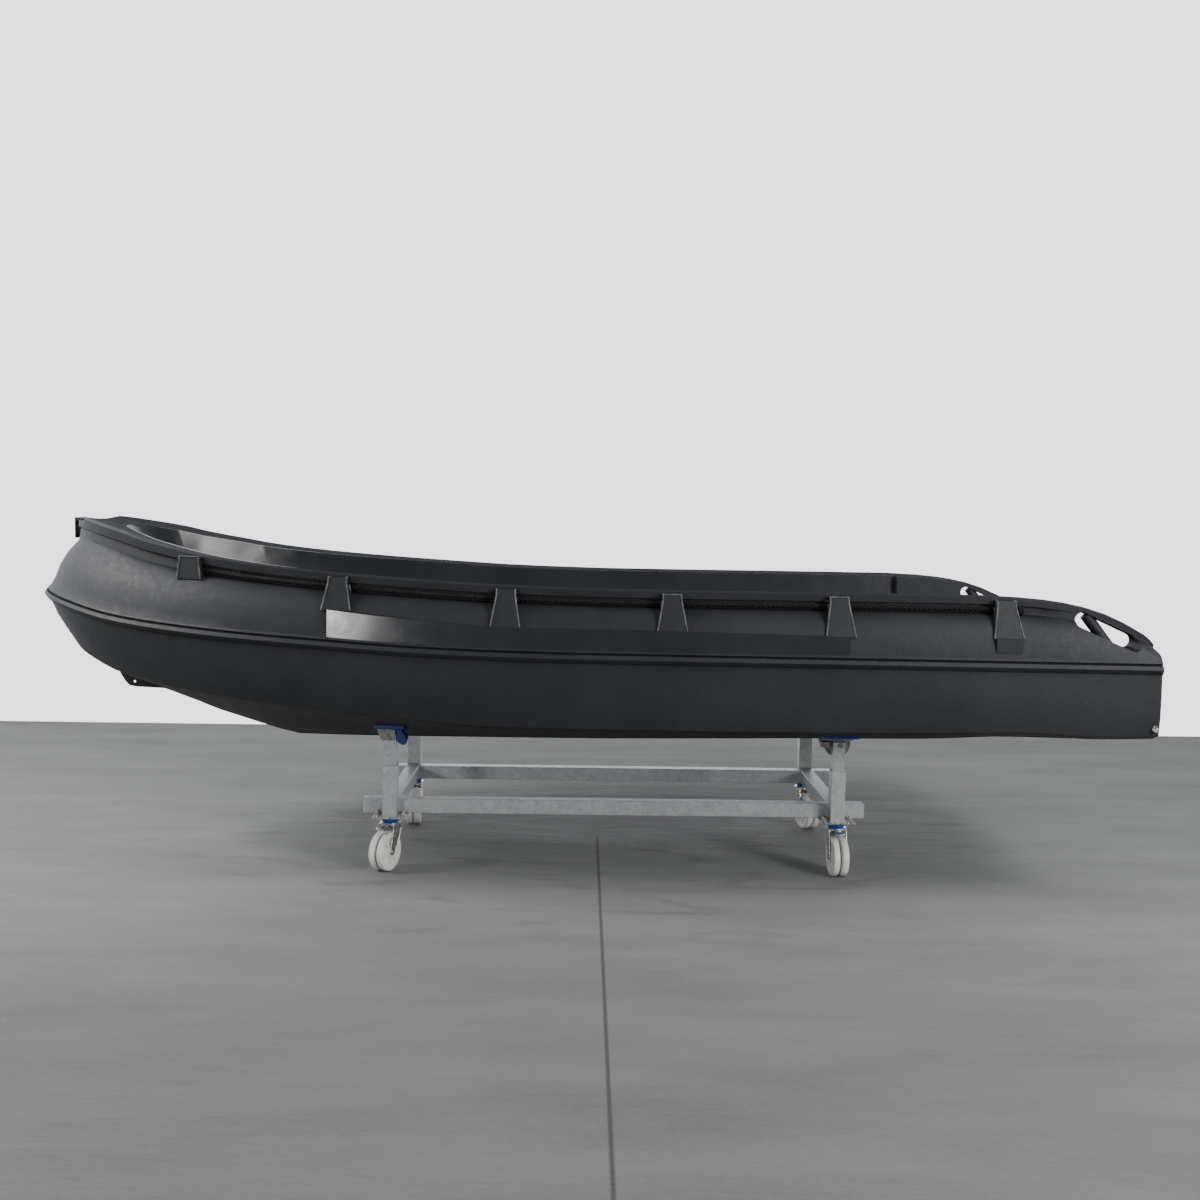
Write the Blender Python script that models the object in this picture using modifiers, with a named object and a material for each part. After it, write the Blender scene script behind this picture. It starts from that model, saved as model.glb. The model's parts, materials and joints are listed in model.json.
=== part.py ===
# Open moulded plastic work boat standing on a four-caster trolley.
# Metres, +Z up, +X to the bow, +Y to port, origin on the floor under the middle of the boat.

import math

import bmesh
import bpy
import numpy as np
from mathutils import Matrix, Vector
from mathutils.bvhtree import BVHTree

# Boat, main sizes
HALF_LENGTH = 2.272
RAIL_HALF_BEAM = 0.926
MIDSHIP_X = 0.0
PLAN_POWER = 3.0
PLAN_ROUND = 1.6

# Heights along the boat, as (x, z)
KEEL_HEIGHTS = [(-2.28, 0.516), (-1.95, 0.520), (-1.63, 0.506), (-1.00, 0.500), (-0.50, 0.493),
                (0.00, 0.488), (0.60, 0.488), (1.17, 0.494), (1.25, 0.513), (1.40, 0.558),
                (1.57, 0.613), (1.74, 0.674), (1.98, 0.768)]
SKEG_HEIGHTS = [(-2.28, 0.512), (-1.95, 0.516), (-1.63, 0.502), (-1.00, 0.496), (-0.50, 0.489),
                (0.00, 0.484), (0.60, 0.484), (1.17, 0.490), (1.25, 0.509), (1.40, 0.554),
                (1.57, 0.609), (1.69, 0.667), (1.76, 0.681), (1.91, 0.689), (1.936, 0.702), (1.95, 0.742)]
SKEG_HALF = 0.014
SKEG_ROOT_HALF = 0.018
SKEG_NOSE = 1.950
SKEG_HOLE = (1.898, 0.710)
SKEG_HOLE_RADIUS = 0.006
CHINE_HEIGHTS = [(-2.28, 0.657), (-2.05, 0.652), (-1.75, 0.667), (-1.50, 0.659), (-0.80, 0.652),
                 (0.20, 0.658), (0.70, 0.694), (1.20, 0.732), (1.80, 0.808), (1.95, 0.842), (2.13, 0.884)]
RAIL_HEIGHTS = [(-2.28, 0.940), (-1.00, 0.947), (0.00, 0.953), (0.50, 0.965), (0.92, 0.987),
                (1.42, 1.015), (1.80, 1.046), (2.05, 1.085), (2.28, 1.122)]
SHEER_HEIGHTS = [(-2.28, 1.012), (-2.25, 1.046), (-2.205, 1.074), (-2.145, 1.106), (-2.03, 1.151),
                 (-1.91, 1.177), (-1.80, 1.190), (-1.60, 1.200), (-0.30, 1.2025), (0.20, 1.212),
                 (0.60, 1.232), (1.10, 1.268), (1.40, 1.303), (1.57, 1.336), (1.70, 1.363),
                 (1.80, 1.391), (1.92, 1.416), (2.02, 1.435), (2.13, 1.446)]

# Longitudinal lines of the lower hull: half breadth, x of the nose, share of the way from chine to rail
LOWER_LINES = [("bilge", 0.900, 2.130, 0.08), ("side_low", 0.910, 2.172, 0.36),
               ("side_mid", 0.912, 2.216, 0.68)]
CHINE_HALF = 0.842
CHINE_NOSE = 2.108
GARBOARD_HALF = 0.300
GARBOARD_NOSE = 2.030
GARBOARD_RISES = [(-1.90, 0.057), (-1.10, 0.058), (-0.50, 0.064), (0.70, 0.074), (1.30, 0.057)]
KEEL_NOSE = 1.980

# Rub rail section: half breadth less than the rail's, x of the nose, height above the rail's middle
RAIL_SECTION = [(0.015, 2.246, -0.028), (0.007, 2.260, -0.023), (0.000, 2.272, -0.009),
                (0.007, 2.264, 0.005), (0.017, 2.252, 0.009), (0.011, 2.258, 0.015),
                (0.019, 2.247, 0.024)]

# Flank and gunwale lip: half breadth, x of the nose, share of the rise from rail to sheer
FLANK_LINES = [("flank_1", 0.904, 2.228, 0.12), ("flank_2", 0.893, 2.204, 0.32),
               ("flank_3", 0.872, 2.170, 0.50), ("flank_4", 0.836, 2.125, 0.66),
               ("recess_low", 0.800, 2.122, 0.71), ("recess_top", 0.796, 2.116, 0.84),
               ("lip_low", 0.818, 2.125, 0.855), ("lip_out", 0.820, 2.125, 0.965),
               ("crest", 0.811, 2.114, 1.00), ("inner_edge", 0.700, 1.952, 0.960)]
# Bow platform, lower than the coaming behind it
PLATFORM_X = 2.030
PLATFORM_Z = 1.420
RECESS_FADE_X = (-1.93, -1.83)

# Cockpit
COCKPIT_AFT_X = -1.62
COCKPIT_TOP_HALF = 0.690
COCKPIT_FLOOR_HALF = 0.600
COCKPIT_TOP_NOSE = 1.938
COCKPIT_FLOOR_NOSE = 1.560
COCKPIT_FLOOR_Z = 0.700
COCKPIT_FLOOR_RISE = 0.10
COCKPIT_OVER_Z = 1.70
AFT_DECK_Z = 0.970
AFT_DECK_HALF = 0.640
WELL_HALF = 0.290
WELL_FLOOR_Z = 0.760
TRANSOM_THICK = 0.110
# Top of the transom from the middle outwards, as (y, z), with the motor's cut-out first
TRANSOM_TOP = [(0.200, 0.935), (0.215, 0.978), (0.760, 0.980)]
# Stern fins: inner half breadth and the x where they end in the gunwale
FIN_INNER_HALF = 0.760
FIN_FRONT_X = -1.930
# Carry slots in the fins: centres of the two round ends, as (x, z)
SLOT_ENDS = [(-1.994, 1.110), (-2.172, 1.030)]
# Half breadth and radius of the slot from the middle out
SLOT_TAPER = [(0.800, 0.027), (0.845, 0.033), (1.050, 0.033)]
# Slanting mooring bar in each slot: top and foot as (x, z), half breadth and radius
SLOT_BAR = ((-2.014, 1.128), (-2.106, 1.010), 0.790, 0.022)

GAP = 0.0003

# Trolley
POST_X = {"fore": 0.711, "aft": -1.147}
POST_Y = 0.410
BEAM_SIZE = 0.060
BEAM_WALL = 0.004
BEAM_Y = 0.350
BEAM_Z = 0.254
BEAM_X = (-1.270, 0.830)
SLEEVE_SIZE = 0.060
SLEEVE_WALL = 0.0045
SLEEVE_Z = (0.2223, 0.435)
INNER_SIZE = 0.050
INNER_WALL = 0.004
INNER_BOTTOM_Z = 0.285

# Hull pads, the heads that carry them and the bolts across the posts' tops
PAD_LENGTH = {"fore": 0.120, "aft": 0.150}
PAD_WIDTH = 0.130
PAD_THICK = 0.014
PAD_TESTS = 6
HEAD_THICK = 0.005
HEAD_REACH = {"fore": (-0.022, 0.052), "aft": (-0.058, 0.076)}
HEAD_UNDER = 0.001
BOLT_X = {"fore": 0.008, "aft": -0.006}
BOLT_RADIUS = 0.006
BOLT_HEAD = (0.0105, 0.007)
BOLT_DROP = 0.012
# Fore head's cheeks: upper and lower ends along x, and how far they reach under the bolt
CHEEK_TOP = (-0.022, 0.052)
CHEEK_LOW = (-0.019, 0.034)
CHEEK_DROP = 0.012
# Aft head: radius of its half disc, and the front lip's ends and depth
DISC_RADIUS = 0.056
LIP = (0.043, 0.076, 0.022)
# Arm under the fore pads, as (x, z) from the post's middle and the pad's underside
PAD_ARM = [(-0.027, 0.006), (-0.047, 0.006), (-0.070, -0.033), (-0.063, -0.056), (-0.047, -0.054),
           (-0.029, -0.040)]
PAD_ARM_HALF = 0.030

# Casters
WHEEL_RADIUS = 0.080
WHEEL_WIDTH = 0.027
WHEEL_GAP = 0.010
HUB_RADIUS = 0.024
AXLE_RADIUS = 0.006
CASTER_TRAIL = 0.042
PLATE_SIZE = (0.140, 0.110, 0.006)
PLATE_TOP_Z = 0.222
RING_RADIUS = 0.0455
RING_Z = (0.196, 0.2157)
FORK_TOP_Z = 0.1957
FORK_CROWN = 0.010
LEG_THICK = 0.004
SWIVEL_DEG = {("fore", "port"): -23.0, ("aft", "port"): 3.0,
              ("fore", "starboard"): 4.0, ("aft", "starboard"): 17.0}
SIDES = {"port": 1.0, "starboard": -1.0}

# Grab lines and their brackets
ROPE_RADIUS = 0.010
ROPE_SHARE = 0.772
ROPE_OUT = 0.0155
ROPE_BACK_X = -1.741
ROPE_FRONT_X = 1.480
ROPE_POINTS = 28
ROPE_HOLE_GAP = 0.0004
KNOT_SHAPE = [(-0.044, 0.70), (-0.038, 1.45), (-0.022, 1.80), (-0.008, 1.40)]
# Brackets as (x, width above, width below, height of the bottom)
BRACKETS = [(1.466, 0.080, 0.100, 1.208), (0.860, 0.070, 0.112, 1.108), (0.217, 0.070, 0.112, 1.056),
            (-0.415, 0.070, 0.112, 1.050), (-1.052, 0.070, 0.112, 1.038), (-1.690, 0.070, 0.112, 1.041)]
BRACKET_TOP_SHARE = 0.93
BRACKET_NECK = 0.85
BRACKET_STANDS_OUT = (0.006, 0.024)
BRACKET_ROOT = (0.760, 2.092)
BADGE_WIDTH = 0.098
BADGE_Z = (0.990, 1.0415)
BADGE_OUT = 0.909

# Smooth panel along each side, above the rub rail, as (x, z) of its top edge
PANEL_TOP = [(-1.085, 1.040), (-0.20, 1.054), (0.15, 1.056), (0.89, 1.113)]
PANEL_OUT = ((0.911, 2.236), (0.905, 2.232))
PANEL_STEPS = 16

# Upright plate at the top of the bow: low and high corner
BOW_PLATE = ((2.1253, -0.055, 1.342), (2.1343, 0.055, 1.431))

# Eye bolts at the stern corners, the share of the way up from the bilge line to the next
EYE_X = -2.256
EYE_SHARE = 0.40
EYE_MAJOR = 0.010
EYE_MINOR = 0.003
EYE_WASHER = (0.012, 0.003)

PART = bpy.data.collections.new("plastic_boat")
CUTTERS = bpy.data.collections.new("cutters")


def clear_scene():
    for old in list(bpy.data.objects):
        bpy.data.objects.remove(old)
    bpy.context.scene.collection.children.link(PART)
    bpy.context.scene.collection.children.link(CUTTERS)


def material(name, colour, roughness, metallic=0.0):
    made = bpy.data.materials.get(name)
    if made is None:
        made = bpy.data.materials.new(name)
        made.use_nodes = True
        shader = made.node_tree.nodes["Principled BSDF"]
        shader.inputs["Base Color"].default_value = (*colour, 1.0)
        shader.inputs["Roughness"].default_value = roughness
        shader.inputs["Metallic"].default_value = metallic
    return made


def black_plastic():
    return material("black_plastic", (0.018, 0.019, 0.020), 0.5)


def galvanised():
    return material("galvanised_steel", (0.55, 0.56, 0.57), 0.45, 0.8)


def zinc():
    return material("zinc_steel", (0.62, 0.62, 0.60), 0.3, 1.0)


def blue_coat():
    return material("blue_coat", (0.02, 0.06, 0.42), 0.4)


def white_nylon():
    return material("white_nylon", (0.80, 0.79, 0.76), 0.45)


def black_rope():
    return material("black_rope", (0.012, 0.012, 0.013), 0.85)


def aluminium():
    return material("aluminium", (0.70, 0.71, 0.72), 0.35, 1.0)


def add_mesh(name, mesh, look=None, collection=None):
    made = bpy.data.objects.new(name, mesh)
    (collection or PART).objects.link(made)
    if look is not None:
        mesh.materials.clear()
        mesh.materials.append(look)
    return made


def mesh_from(name, shape, smooth_deg=None):
    mesh = bpy.data.meshes.new(name)
    bmesh.ops.recalc_face_normals(shape, faces=shape.faces)
    shape.to_mesh(mesh)
    shape.free()
    if smooth_deg is not None:
        mesh.shade_smooth()
        mesh.set_sharp_from_angle(angle=math.radians(smooth_deg))
    return mesh


def box_mesh(name, low, high):
    shape = bmesh.new()
    bmesh.ops.create_cube(shape, size=1.0)
    for point in shape.verts:
        for axis in range(3):
            point.co[axis] = high[axis] if point.co[axis] > 0 else low[axis]
    return mesh_from(name, shape)


def cylinder_mesh(name, radius, start, end, segments=24):
    start, end = Vector(start), Vector(end)
    shape = bmesh.new()
    turn = (end - start).to_track_quat("Z", "Y").to_matrix().to_4x4()
    place = Matrix.Translation((start + end) / 2) @ turn
    bmesh.ops.create_cone(shape, cap_ends=True, segments=segments, radius1=radius, radius2=radius,
                          depth=(end - start).length, matrix=place)
    return mesh_from(name, shape, 40)


def cutter(name, mesh):
    made = add_mesh(name, mesh, None, CUTTERS)
    made.hide_render = True
    made.display_type = "WIRE"
    return made


def boolean(target, tool, operation):
    step = target.modifiers.new(operation.lower() + "_" + tool.name, "BOOLEAN")
    step.operation = operation
    step.solver = "EXACT"
    step.object = tool
    return step


def evaluated_mesh(name, source):
    depsgraph = bpy.context.evaluated_depsgraph_get()
    mesh = bpy.data.meshes.new_from_object(source.evaluated_get(depsgraph))
    mesh.name = name
    return mesh


# Smooth height through a few points, with no overshoot between them
def height(points, x):
    xs = np.array([p[0] for p in points])
    zs = np.array([p[1] for p in points])
    steps = np.diff(xs)
    slopes = np.diff(zs) / steps
    rates = np.zeros(len(xs))
    rates[0], rates[-1] = slopes[0], slopes[-1]
    for i in range(1, len(xs) - 1):
        if slopes[i - 1] * slopes[i] > 0:
            before = 2 * steps[i] + steps[i - 1]
            after = steps[i] + 2 * steps[i - 1]
            rates[i] = (before + after) / (before / slopes[i - 1] + after / slopes[i])
    x = min(max(x, xs[0]), xs[-1])
    i = min(int(np.searchsorted(xs, x, side="right")) - 1, len(steps) - 1)
    t = (x - xs[i]) / steps[i]
    square, cube = t * t, t * t * t
    return float((2 * cube - 3 * square + 1) * zs[i] + (cube - 2 * square + t) * steps[i] * rates[i]
                 + (3 * square - 2 * cube) * zs[i + 1] + (cube - square) * steps[i] * rates[i + 1])


def half_breadth(x, half, nose):
    share = min(max((x - MIDSHIP_X) / (nose - MIDSHIP_X), 0.0), 1.0)
    return half * (1.0 - share ** PLAN_POWER) ** (1.0 / PLAN_ROUND)


def rail_top(x):
    return height(RAIL_HEIGHTS, x) + RAIL_SECTION[-1][2]


def side_height(x, share):
    low = rail_top(x)
    return low + share * (height(SHEER_HEIGHTS, x) - low)


def lower_height(x, share):
    low = height(CHINE_HEIGHTS, x)
    return low + share * (height(RAIL_HEIGHTS, x) + RAIL_SECTION[0][2] - low)


def side_breadth(name_of_line, x):
    lines = {line[0]: line for line in FLANK_LINES}
    _, half, nose, _ = lines[name_of_line]
    wide = half_breadth(x, half, nose)
    if name_of_line in ("recess_low", "recess_top"):
        fade = min(max((x - RECESS_FADE_X[0]) / (RECESS_FADE_X[1] - RECESS_FADE_X[0]), 0.0), 1.0)
        plain = half_breadth(x, lines["lip_low"][1], nose)
        wide = plain + fade * (wide - plain)
    return wide


# Half breadth of the flank at a height between two of its lines
def flank_breadth(x, z):
    points = [(side_height(x, share), side_breadth(name, x)) for name, _, _, share in FLANK_LINES[:4]]
    return float(np.interp(z, [p[0] for p in points], [p[1] for p in points]))


def hull_stations():
    aft = [-HALF_LENGTH, -2.256, -2.236, -2.20, -2.15, -2.08, -2.00, -1.92, -1.84, -1.74, -1.60,
           -1.30, -1.00, -0.60, -0.20]
    flat = [(x - aft[0]) / (MIDSHIP_X - aft[0]) for x in aft]
    count = 24
    curved = [1.0 - (1.0 - i / count) ** 1.7 for i in range(count + 1)]
    return flat, curved


def line_points(nose, wide_of, high_of):
    flat, curved = hull_stations()
    xs = [-HALF_LENGTH + f * (MIDSHIP_X + HALF_LENGTH) for f in flat]
    xs += [MIDSHIP_X + c * (nose - MIDSHIP_X) for c in curved]
    points = [Vector((x, wide_of(x), high_of(x))) for x in xs]
    points[-1].y = 0.0
    return points


def hull_lines():
    lines = [line_points(SKEG_NOSE, lambda x, h=half: half_breadth(x, h, SKEG_NOSE),
                         lambda x: height(SKEG_HEIGHTS, x)) for half in (0.0, SKEG_HALF)]
    lines.append(line_points(KEEL_NOSE, lambda x: half_breadth(x, SKEG_ROOT_HALF, KEEL_NOSE),
                             lambda x: height(KEEL_HEIGHTS, x)))
    lines.append(line_points(GARBOARD_NOSE, lambda x: half_breadth(x, GARBOARD_HALF, GARBOARD_NOSE),
                             lambda x: height(KEEL_HEIGHTS, x) + height(GARBOARD_RISES, x)))
    lines.append(line_points(CHINE_NOSE, lambda x: half_breadth(x, CHINE_HALF, CHINE_NOSE),
                             lambda x: height(CHINE_HEIGHTS, x)))
    for _, half, nose, share in LOWER_LINES:
        lines.append(line_points(nose, lambda x, h=half, n=nose: half_breadth(x, h, n),
                                 lambda x, s=share: lower_height(x, s)))
    for inset, nose, above in RAIL_SECTION:
        lines.append(line_points(nose, lambda x, h=RAIL_HALF_BEAM - inset, n=nose: half_breadth(x, h, n),
                                 lambda x, a=above: height(RAIL_HEIGHTS, x) + a))
    for name, _, nose, share in FLANK_LINES:
        lines.append(line_points(nose, lambda x, n=name: side_breadth(n, x),
                                 lambda x, s=share: side_height(x, s)))
    edge = lines[-1]
    lines.append([Vector((p.x, 0.0, p.z)) for p in edge])
    return lines


def loft_half(name, lines):
    shape = bmesh.new()
    grid = [[shape.verts.new(p) for p in line] for line in lines]
    for low, high in zip(grid, grid[1:]):
        for i in range(len(low) - 1):
            shape.faces.new((low[i], low[i + 1], high[i + 1], high[i]))
    shape.faces.new([line[0] for line in grid])
    bmesh.ops.remove_doubles(shape, verts=shape.verts, dist=0.00005)
    bmesh.ops.triangulate(shape, faces=[f for f in shape.faces if len(f.verts) > 4])
    return mesh_from(name, shape, 32)


def mirror_y(target):
    step = target.modifiers.new("mirror", "MIRROR")
    step.use_axis = (False, True, False)
    step.merge_threshold = 0.0001
    return step


def cockpit_cutter():
    levels = [(0.0, COCKPIT_FLOOR_HALF - 0.05, COCKPIT_FLOOR_NOSE - 0.04),
              (0.045, COCKPIT_FLOOR_HALF, COCKPIT_FLOOR_NOSE),
              (0.30, COCKPIT_TOP_HALF - 0.02, COCKPIT_TOP_NOSE - 0.12),
              (0.53, COCKPIT_TOP_HALF, COCKPIT_TOP_NOSE - 0.065),
              (0.70, COCKPIT_TOP_HALF, COCKPIT_TOP_NOSE),
              (COCKPIT_OVER_Z - COCKPIT_FLOOR_Z, COCKPIT_TOP_HALF, COCKPIT_TOP_NOSE)]
    count = 14
    lines = []
    for rise, half, nose in levels:
        xs = [COCKPIT_AFT_X, -0.8, MIDSHIP_X]
        xs += [MIDSHIP_X + (1.0 - (1.0 - i / count) ** 1.7) * (nose - MIDSHIP_X)
               for i in range(1, count + 1)]
        line = []
        for x in xs:
            lift = COCKPIT_FLOOR_RISE * max(0.0, (x - 0.7) / 0.8) ** 2 if rise < 0.5 else 0.0
            share = 1.0 if rise == 0 else max(0.0, 1.0 - rise / 0.5)
            line.append(Vector((x, half_breadth(x, half, nose), COCKPIT_FLOOR_Z + rise + lift * share)))
        line[-1].y = 0.0
        lines.append(line)
    floor = [Vector((p.x, 0.0, p.z)) for p in lines[0]]
    top = [Vector((p.x, 0.0, p.z)) for p in lines[-1]]
    lines = [floor] + lines + [top]
    made = cutter("cut_cockpit", loft_half("cut_cockpit", lines))
    mirror_y(made)
    return made


# Unit cube cut into rows at the given heights
def sliced_cube(axis, levels):
    shape = bmesh.new()
    bmesh.ops.create_cube(shape, size=1.0)
    normal = [1.0 if i == axis else 0.0 for i in range(3)]
    for level in levels:
        bmesh.ops.bisect_plane(shape, geom=shape.verts[:] + shape.edges[:] + shape.faces[:],
                               plane_co=[level * part for part in normal], plane_no=normal)
    return shape


# Block whose outline narrows to a neck, following the side of the hull
def bracket_mesh(name, bracket, side):
    x, width_high, width_low, low = bracket
    high = side_height(x, BRACKET_TOP_SHARE)
    face_low = flank_breadth(x, low) + BRACKET_STANDS_OUT[0]
    face_high = side_breadth("lip_out", x) + BRACKET_STANDS_OUT[1]
    root = half_breadth(x, *BRACKET_ROOT)
    slant = (flank_breadth(x + 0.05, low) - flank_breadth(x - 0.05, low)) / 0.10
    shape = sliced_cube(2, [BRACKET_NECK - 0.5])
    for point in shape.verts:
        share = point.co.z + 0.5
        z = low + share * (high - low)
        width = width_low if share == 0 else width_high
        dx = math.copysign(width / 2, point.co.x)
        face = face_low + share * (face_high - face_low)
        if point.co.y > 0:
            point.co = Vector((x + dx, side * (face + slant * dx), z))
        else:
            back = slant * (face - root)
            point.co = Vector((x + dx + back, side * (root + slant * dx), z))
    return mesh_from(name, shape)


# Smooth panel of the side, its outer face just proud of the hull
def panel_mesh(name, side):
    shape = sliced_cube(0, [i / PANEL_STEPS - 0.5 for i in range(1, PANEL_STEPS)])
    start, end = PANEL_TOP[0][0], PANEL_TOP[-1][0]
    for point in shape.verts:
        x = start + (point.co.x + 0.5) * (end - start)
        high = point.co.z > 0
        z = height(PANEL_TOP, x) if high else rail_top(x) - 0.005
        wide = half_breadth(x, *PANEL_OUT[high])
        if point.co.y < 0:
            wide -= 0.06
        point.co = Vector((x, side * wide, z))
    return mesh_from(name, shape)


# Points along the grab line and their thickness, aft to fore, the knot first or a plain run out there
def rope_path(side, with_knot):
    if with_knot:
        stops = [(ROPE_BACK_X + dx, scale) for dx, scale in KNOT_SHAPE]
    else:
        stops = []
    reach = ROPE_FRONT_X - ROPE_BACK_X
    stops += [(ROPE_BACK_X + reach * i / (ROPE_POINTS - 1), 1.0) for i in range(ROPE_POINTS)]
    points = []
    for x, scale in stops:
        wide = side_breadth("recess_top", x) + ROPE_OUT + ROPE_RADIUS * (scale - 1.0)
        points.append(Vector((x, side * wide, side_height(x, ROPE_SHARE))))
    return points, [scale for _, scale in stops]


def tube_curve(name, points, radius, scales=None, resolution=2):
    data = bpy.data.curves.new(name, "CURVE")
    data.dimensions = "3D"
    data.bevel_depth = radius
    data.bevel_resolution = resolution
    data.use_fill_caps = True
    spline = data.splines.new("POLY")
    spline.points.add(len(points) - 1)
    for i, point in enumerate(points):
        spline.points[i].co = (*point, 1.0)
        spline.points[i].radius = scales[i] if scales else 1.0
    return bpy.data.objects.new(name, data)


def tube_mesh(name, points, radius, scales=None, resolution=2):
    curve = tube_curve(name + "_curve", points, radius, scales, resolution)
    PART.objects.link(curve)
    bpy.context.view_layer.update()
    mesh = evaluated_mesh(name, curve)
    data = curve.data
    bpy.data.objects.remove(curve)
    bpy.data.curves.remove(data)
    shape = bmesh.new()
    shape.from_mesh(mesh)
    bmesh.ops.remove_doubles(shape, verts=shape.verts, dist=0.00005)
    bpy.data.meshes.remove(mesh)
    return mesh_from(name, shape, 60)


# Closed outline of points (across, up) pushed along one axis from low to high
def prism_mesh(name, outline, axis, low, high, smooth_deg=None):
    shape = bmesh.new()
    ring = []
    for across, up in outline:
        place = {0: (low, across, up), 1: (across, low, up)}[axis]
        ring.append(shape.verts.new(place))
    moved = bmesh.ops.extrude_face_region(shape, geom=[shape.faces.new(ring)])
    far = [v for v in moved["geom"] if isinstance(v, bmesh.types.BMVert)]
    shift = [high - low if i == axis else 0.0 for i in range(3)]
    bmesh.ops.translate(shape, verts=far, vec=shift)
    return mesh_from(name, shape, smooth_deg)


def slot_outline(radius):
    ends = [Vector(end) for end in SLOT_ENDS]
    base = math.atan2(ends[1].y - ends[0].y, ends[1].x - ends[0].x)
    arc = 10
    outline = []
    for centre, first in zip(ends, (base + math.pi / 2, base - math.pi / 2)):
        for i in range(arc + 1):
            angle = first + math.pi * i / arc
            outline.append(centre + radius * Vector((math.cos(angle), math.sin(angle))))
    return outline


# Round ended carry slot through the fins at the stern, wider towards the outside
def slot_cutter():
    levels = [(-wide, radius) for wide, radius in reversed(SLOT_TAPER)] + SLOT_TAPER
    shape = bmesh.new()
    rows = [[shape.verts.new((p.x, wide, p.y)) for p in slot_outline(radius)] for wide, radius in levels]
    for near, far in zip(rows, rows[1:]):
        for i in range(len(near)):
            k = (i + 1) % len(near)
            shape.faces.new((near[i], near[k], far[k], far[i]))
    shape.faces.new(rows[0])
    shape.faces.new(rows[-1])
    return cutter("cut_slots", mesh_from("cut_slots", shape))


# Everything above the transom's top between the fins
def transom_cutter():
    outline = [(y, z) for y, z in TRANSOM_TOP]
    last = TRANSOM_TOP[-1][0]
    outline += [(last, 1.70), (-last, 1.70)]
    outline += [(-y, z) for y, z in reversed(TRANSOM_TOP)]
    front = -HALF_LENGTH + TRANSOM_THICK + 0.01
    return cutter("cut_transom", prism_mesh("cut_transom", outline, 0, -2.5, front))


def make_hull():
    hull = add_mesh("hull", loft_half("hull", hull_lines()), black_plastic())
    mirror_y(hull)
    x, z = SKEG_HOLE
    hole = cylinder_mesh("cut_skeg_hole", SKEG_HOLE_RADIUS, (x, -0.05, z), (x, 0.05, z), 12)
    boolean(hull, cutter("cut_skeg_hole", hole), "DIFFERENCE")
    for side_name, side in SIDES.items():
        name = "add_panel_" + side_name
        boolean(hull, cutter(name, panel_mesh(name, side)), "UNION")
        for i, bracket in enumerate(BRACKETS):
            name = f"add_bracket_{side_name}_{i + 1}"
            boolean(hull, cutter(name, bracket_mesh(name, bracket, side)), "UNION")
        name = "add_badge_" + side_name
        x = BRACKETS[-1][0]
        wide = sorted((side * BRACKET_ROOT[0], side * BADGE_OUT))
        badge = box_mesh(name, (x - BADGE_WIDTH / 2, wide[0], BADGE_Z[0]),
                         (x + BADGE_WIDTH / 2, wide[1], BADGE_Z[1]))
        boolean(hull, cutter(name, badge), "UNION")
        points, _ = rope_path(side, with_knot=False)
        name = "cut_rope_" + side_name
        channel = tube_mesh(name, points, ROPE_RADIUS + ROPE_HOLE_GAP)
        boolean(hull, cutter(name, channel), "DIFFERENCE")
    boolean(hull, cockpit_cutter(), "DIFFERENCE")
    deck_aft = -HALF_LENGTH + TRANSOM_THICK
    deck = box_mesh("cut_aft_deck", (deck_aft, -AFT_DECK_HALF, AFT_DECK_Z),
                    (COCKPIT_AFT_X + 0.02, AFT_DECK_HALF, 1.7))
    boolean(hull, cutter("cut_aft_deck", deck), "DIFFERENCE")
    fins = box_mesh("cut_fins", (deck_aft, -FIN_INNER_HALF, AFT_DECK_Z), (FIN_FRONT_X, FIN_INNER_HALF, 1.7))
    boolean(hull, cutter("cut_fins", fins), "DIFFERENCE")
    boolean(hull, transom_cutter(), "DIFFERENCE")
    well = box_mesh("cut_well", (deck_aft, -WELL_HALF, WELL_FLOOR_Z), (COCKPIT_AFT_X + 0.05, WELL_HALF, 1.7))
    boolean(hull, cutter("cut_well", well), "DIFFERENCE")
    platform = box_mesh("cut_platform", (PLATFORM_X, -1.0, PLATFORM_Z), (2.5, 1.0, 1.7))
    boolean(hull, cutter("cut_platform", platform), "DIFFERENCE")
    boolean(hull, slot_cutter(), "DIFFERENCE")
    top, foot, wide, radius = SLOT_BAR
    for side_name, side in SIDES.items():
        name = "add_slot_bar_" + side_name
        bar = cylinder_mesh(name, radius, (top[0], side * wide, top[1]), (foot[0], side * wide, foot[1]), 20)
        boolean(hull, cutter(name, bar), "UNION")
    return hull


def make_grab_lines():
    for side_name, side in SIDES.items():
        name = "grab_line_" + side_name
        points, scales = rope_path(side, with_knot=True)
        add_mesh(name, tube_mesh(name, points, ROPE_RADIUS, scales), black_rope())


def hollow_tube(name, low, high, axis, wall, look):
    outer = add_mesh(name, box_mesh(name, low, high), look)
    inner_low = [low[i] + (wall if i != axis else -0.01) for i in range(3)]
    inner_high = [high[i] - (wall if i != axis else -0.01) for i in range(3)]
    boolean(outer, cutter("bore_" + name, box_mesh("bore_" + name, inner_low, inner_high)), "DIFFERENCE")
    return outer


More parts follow.
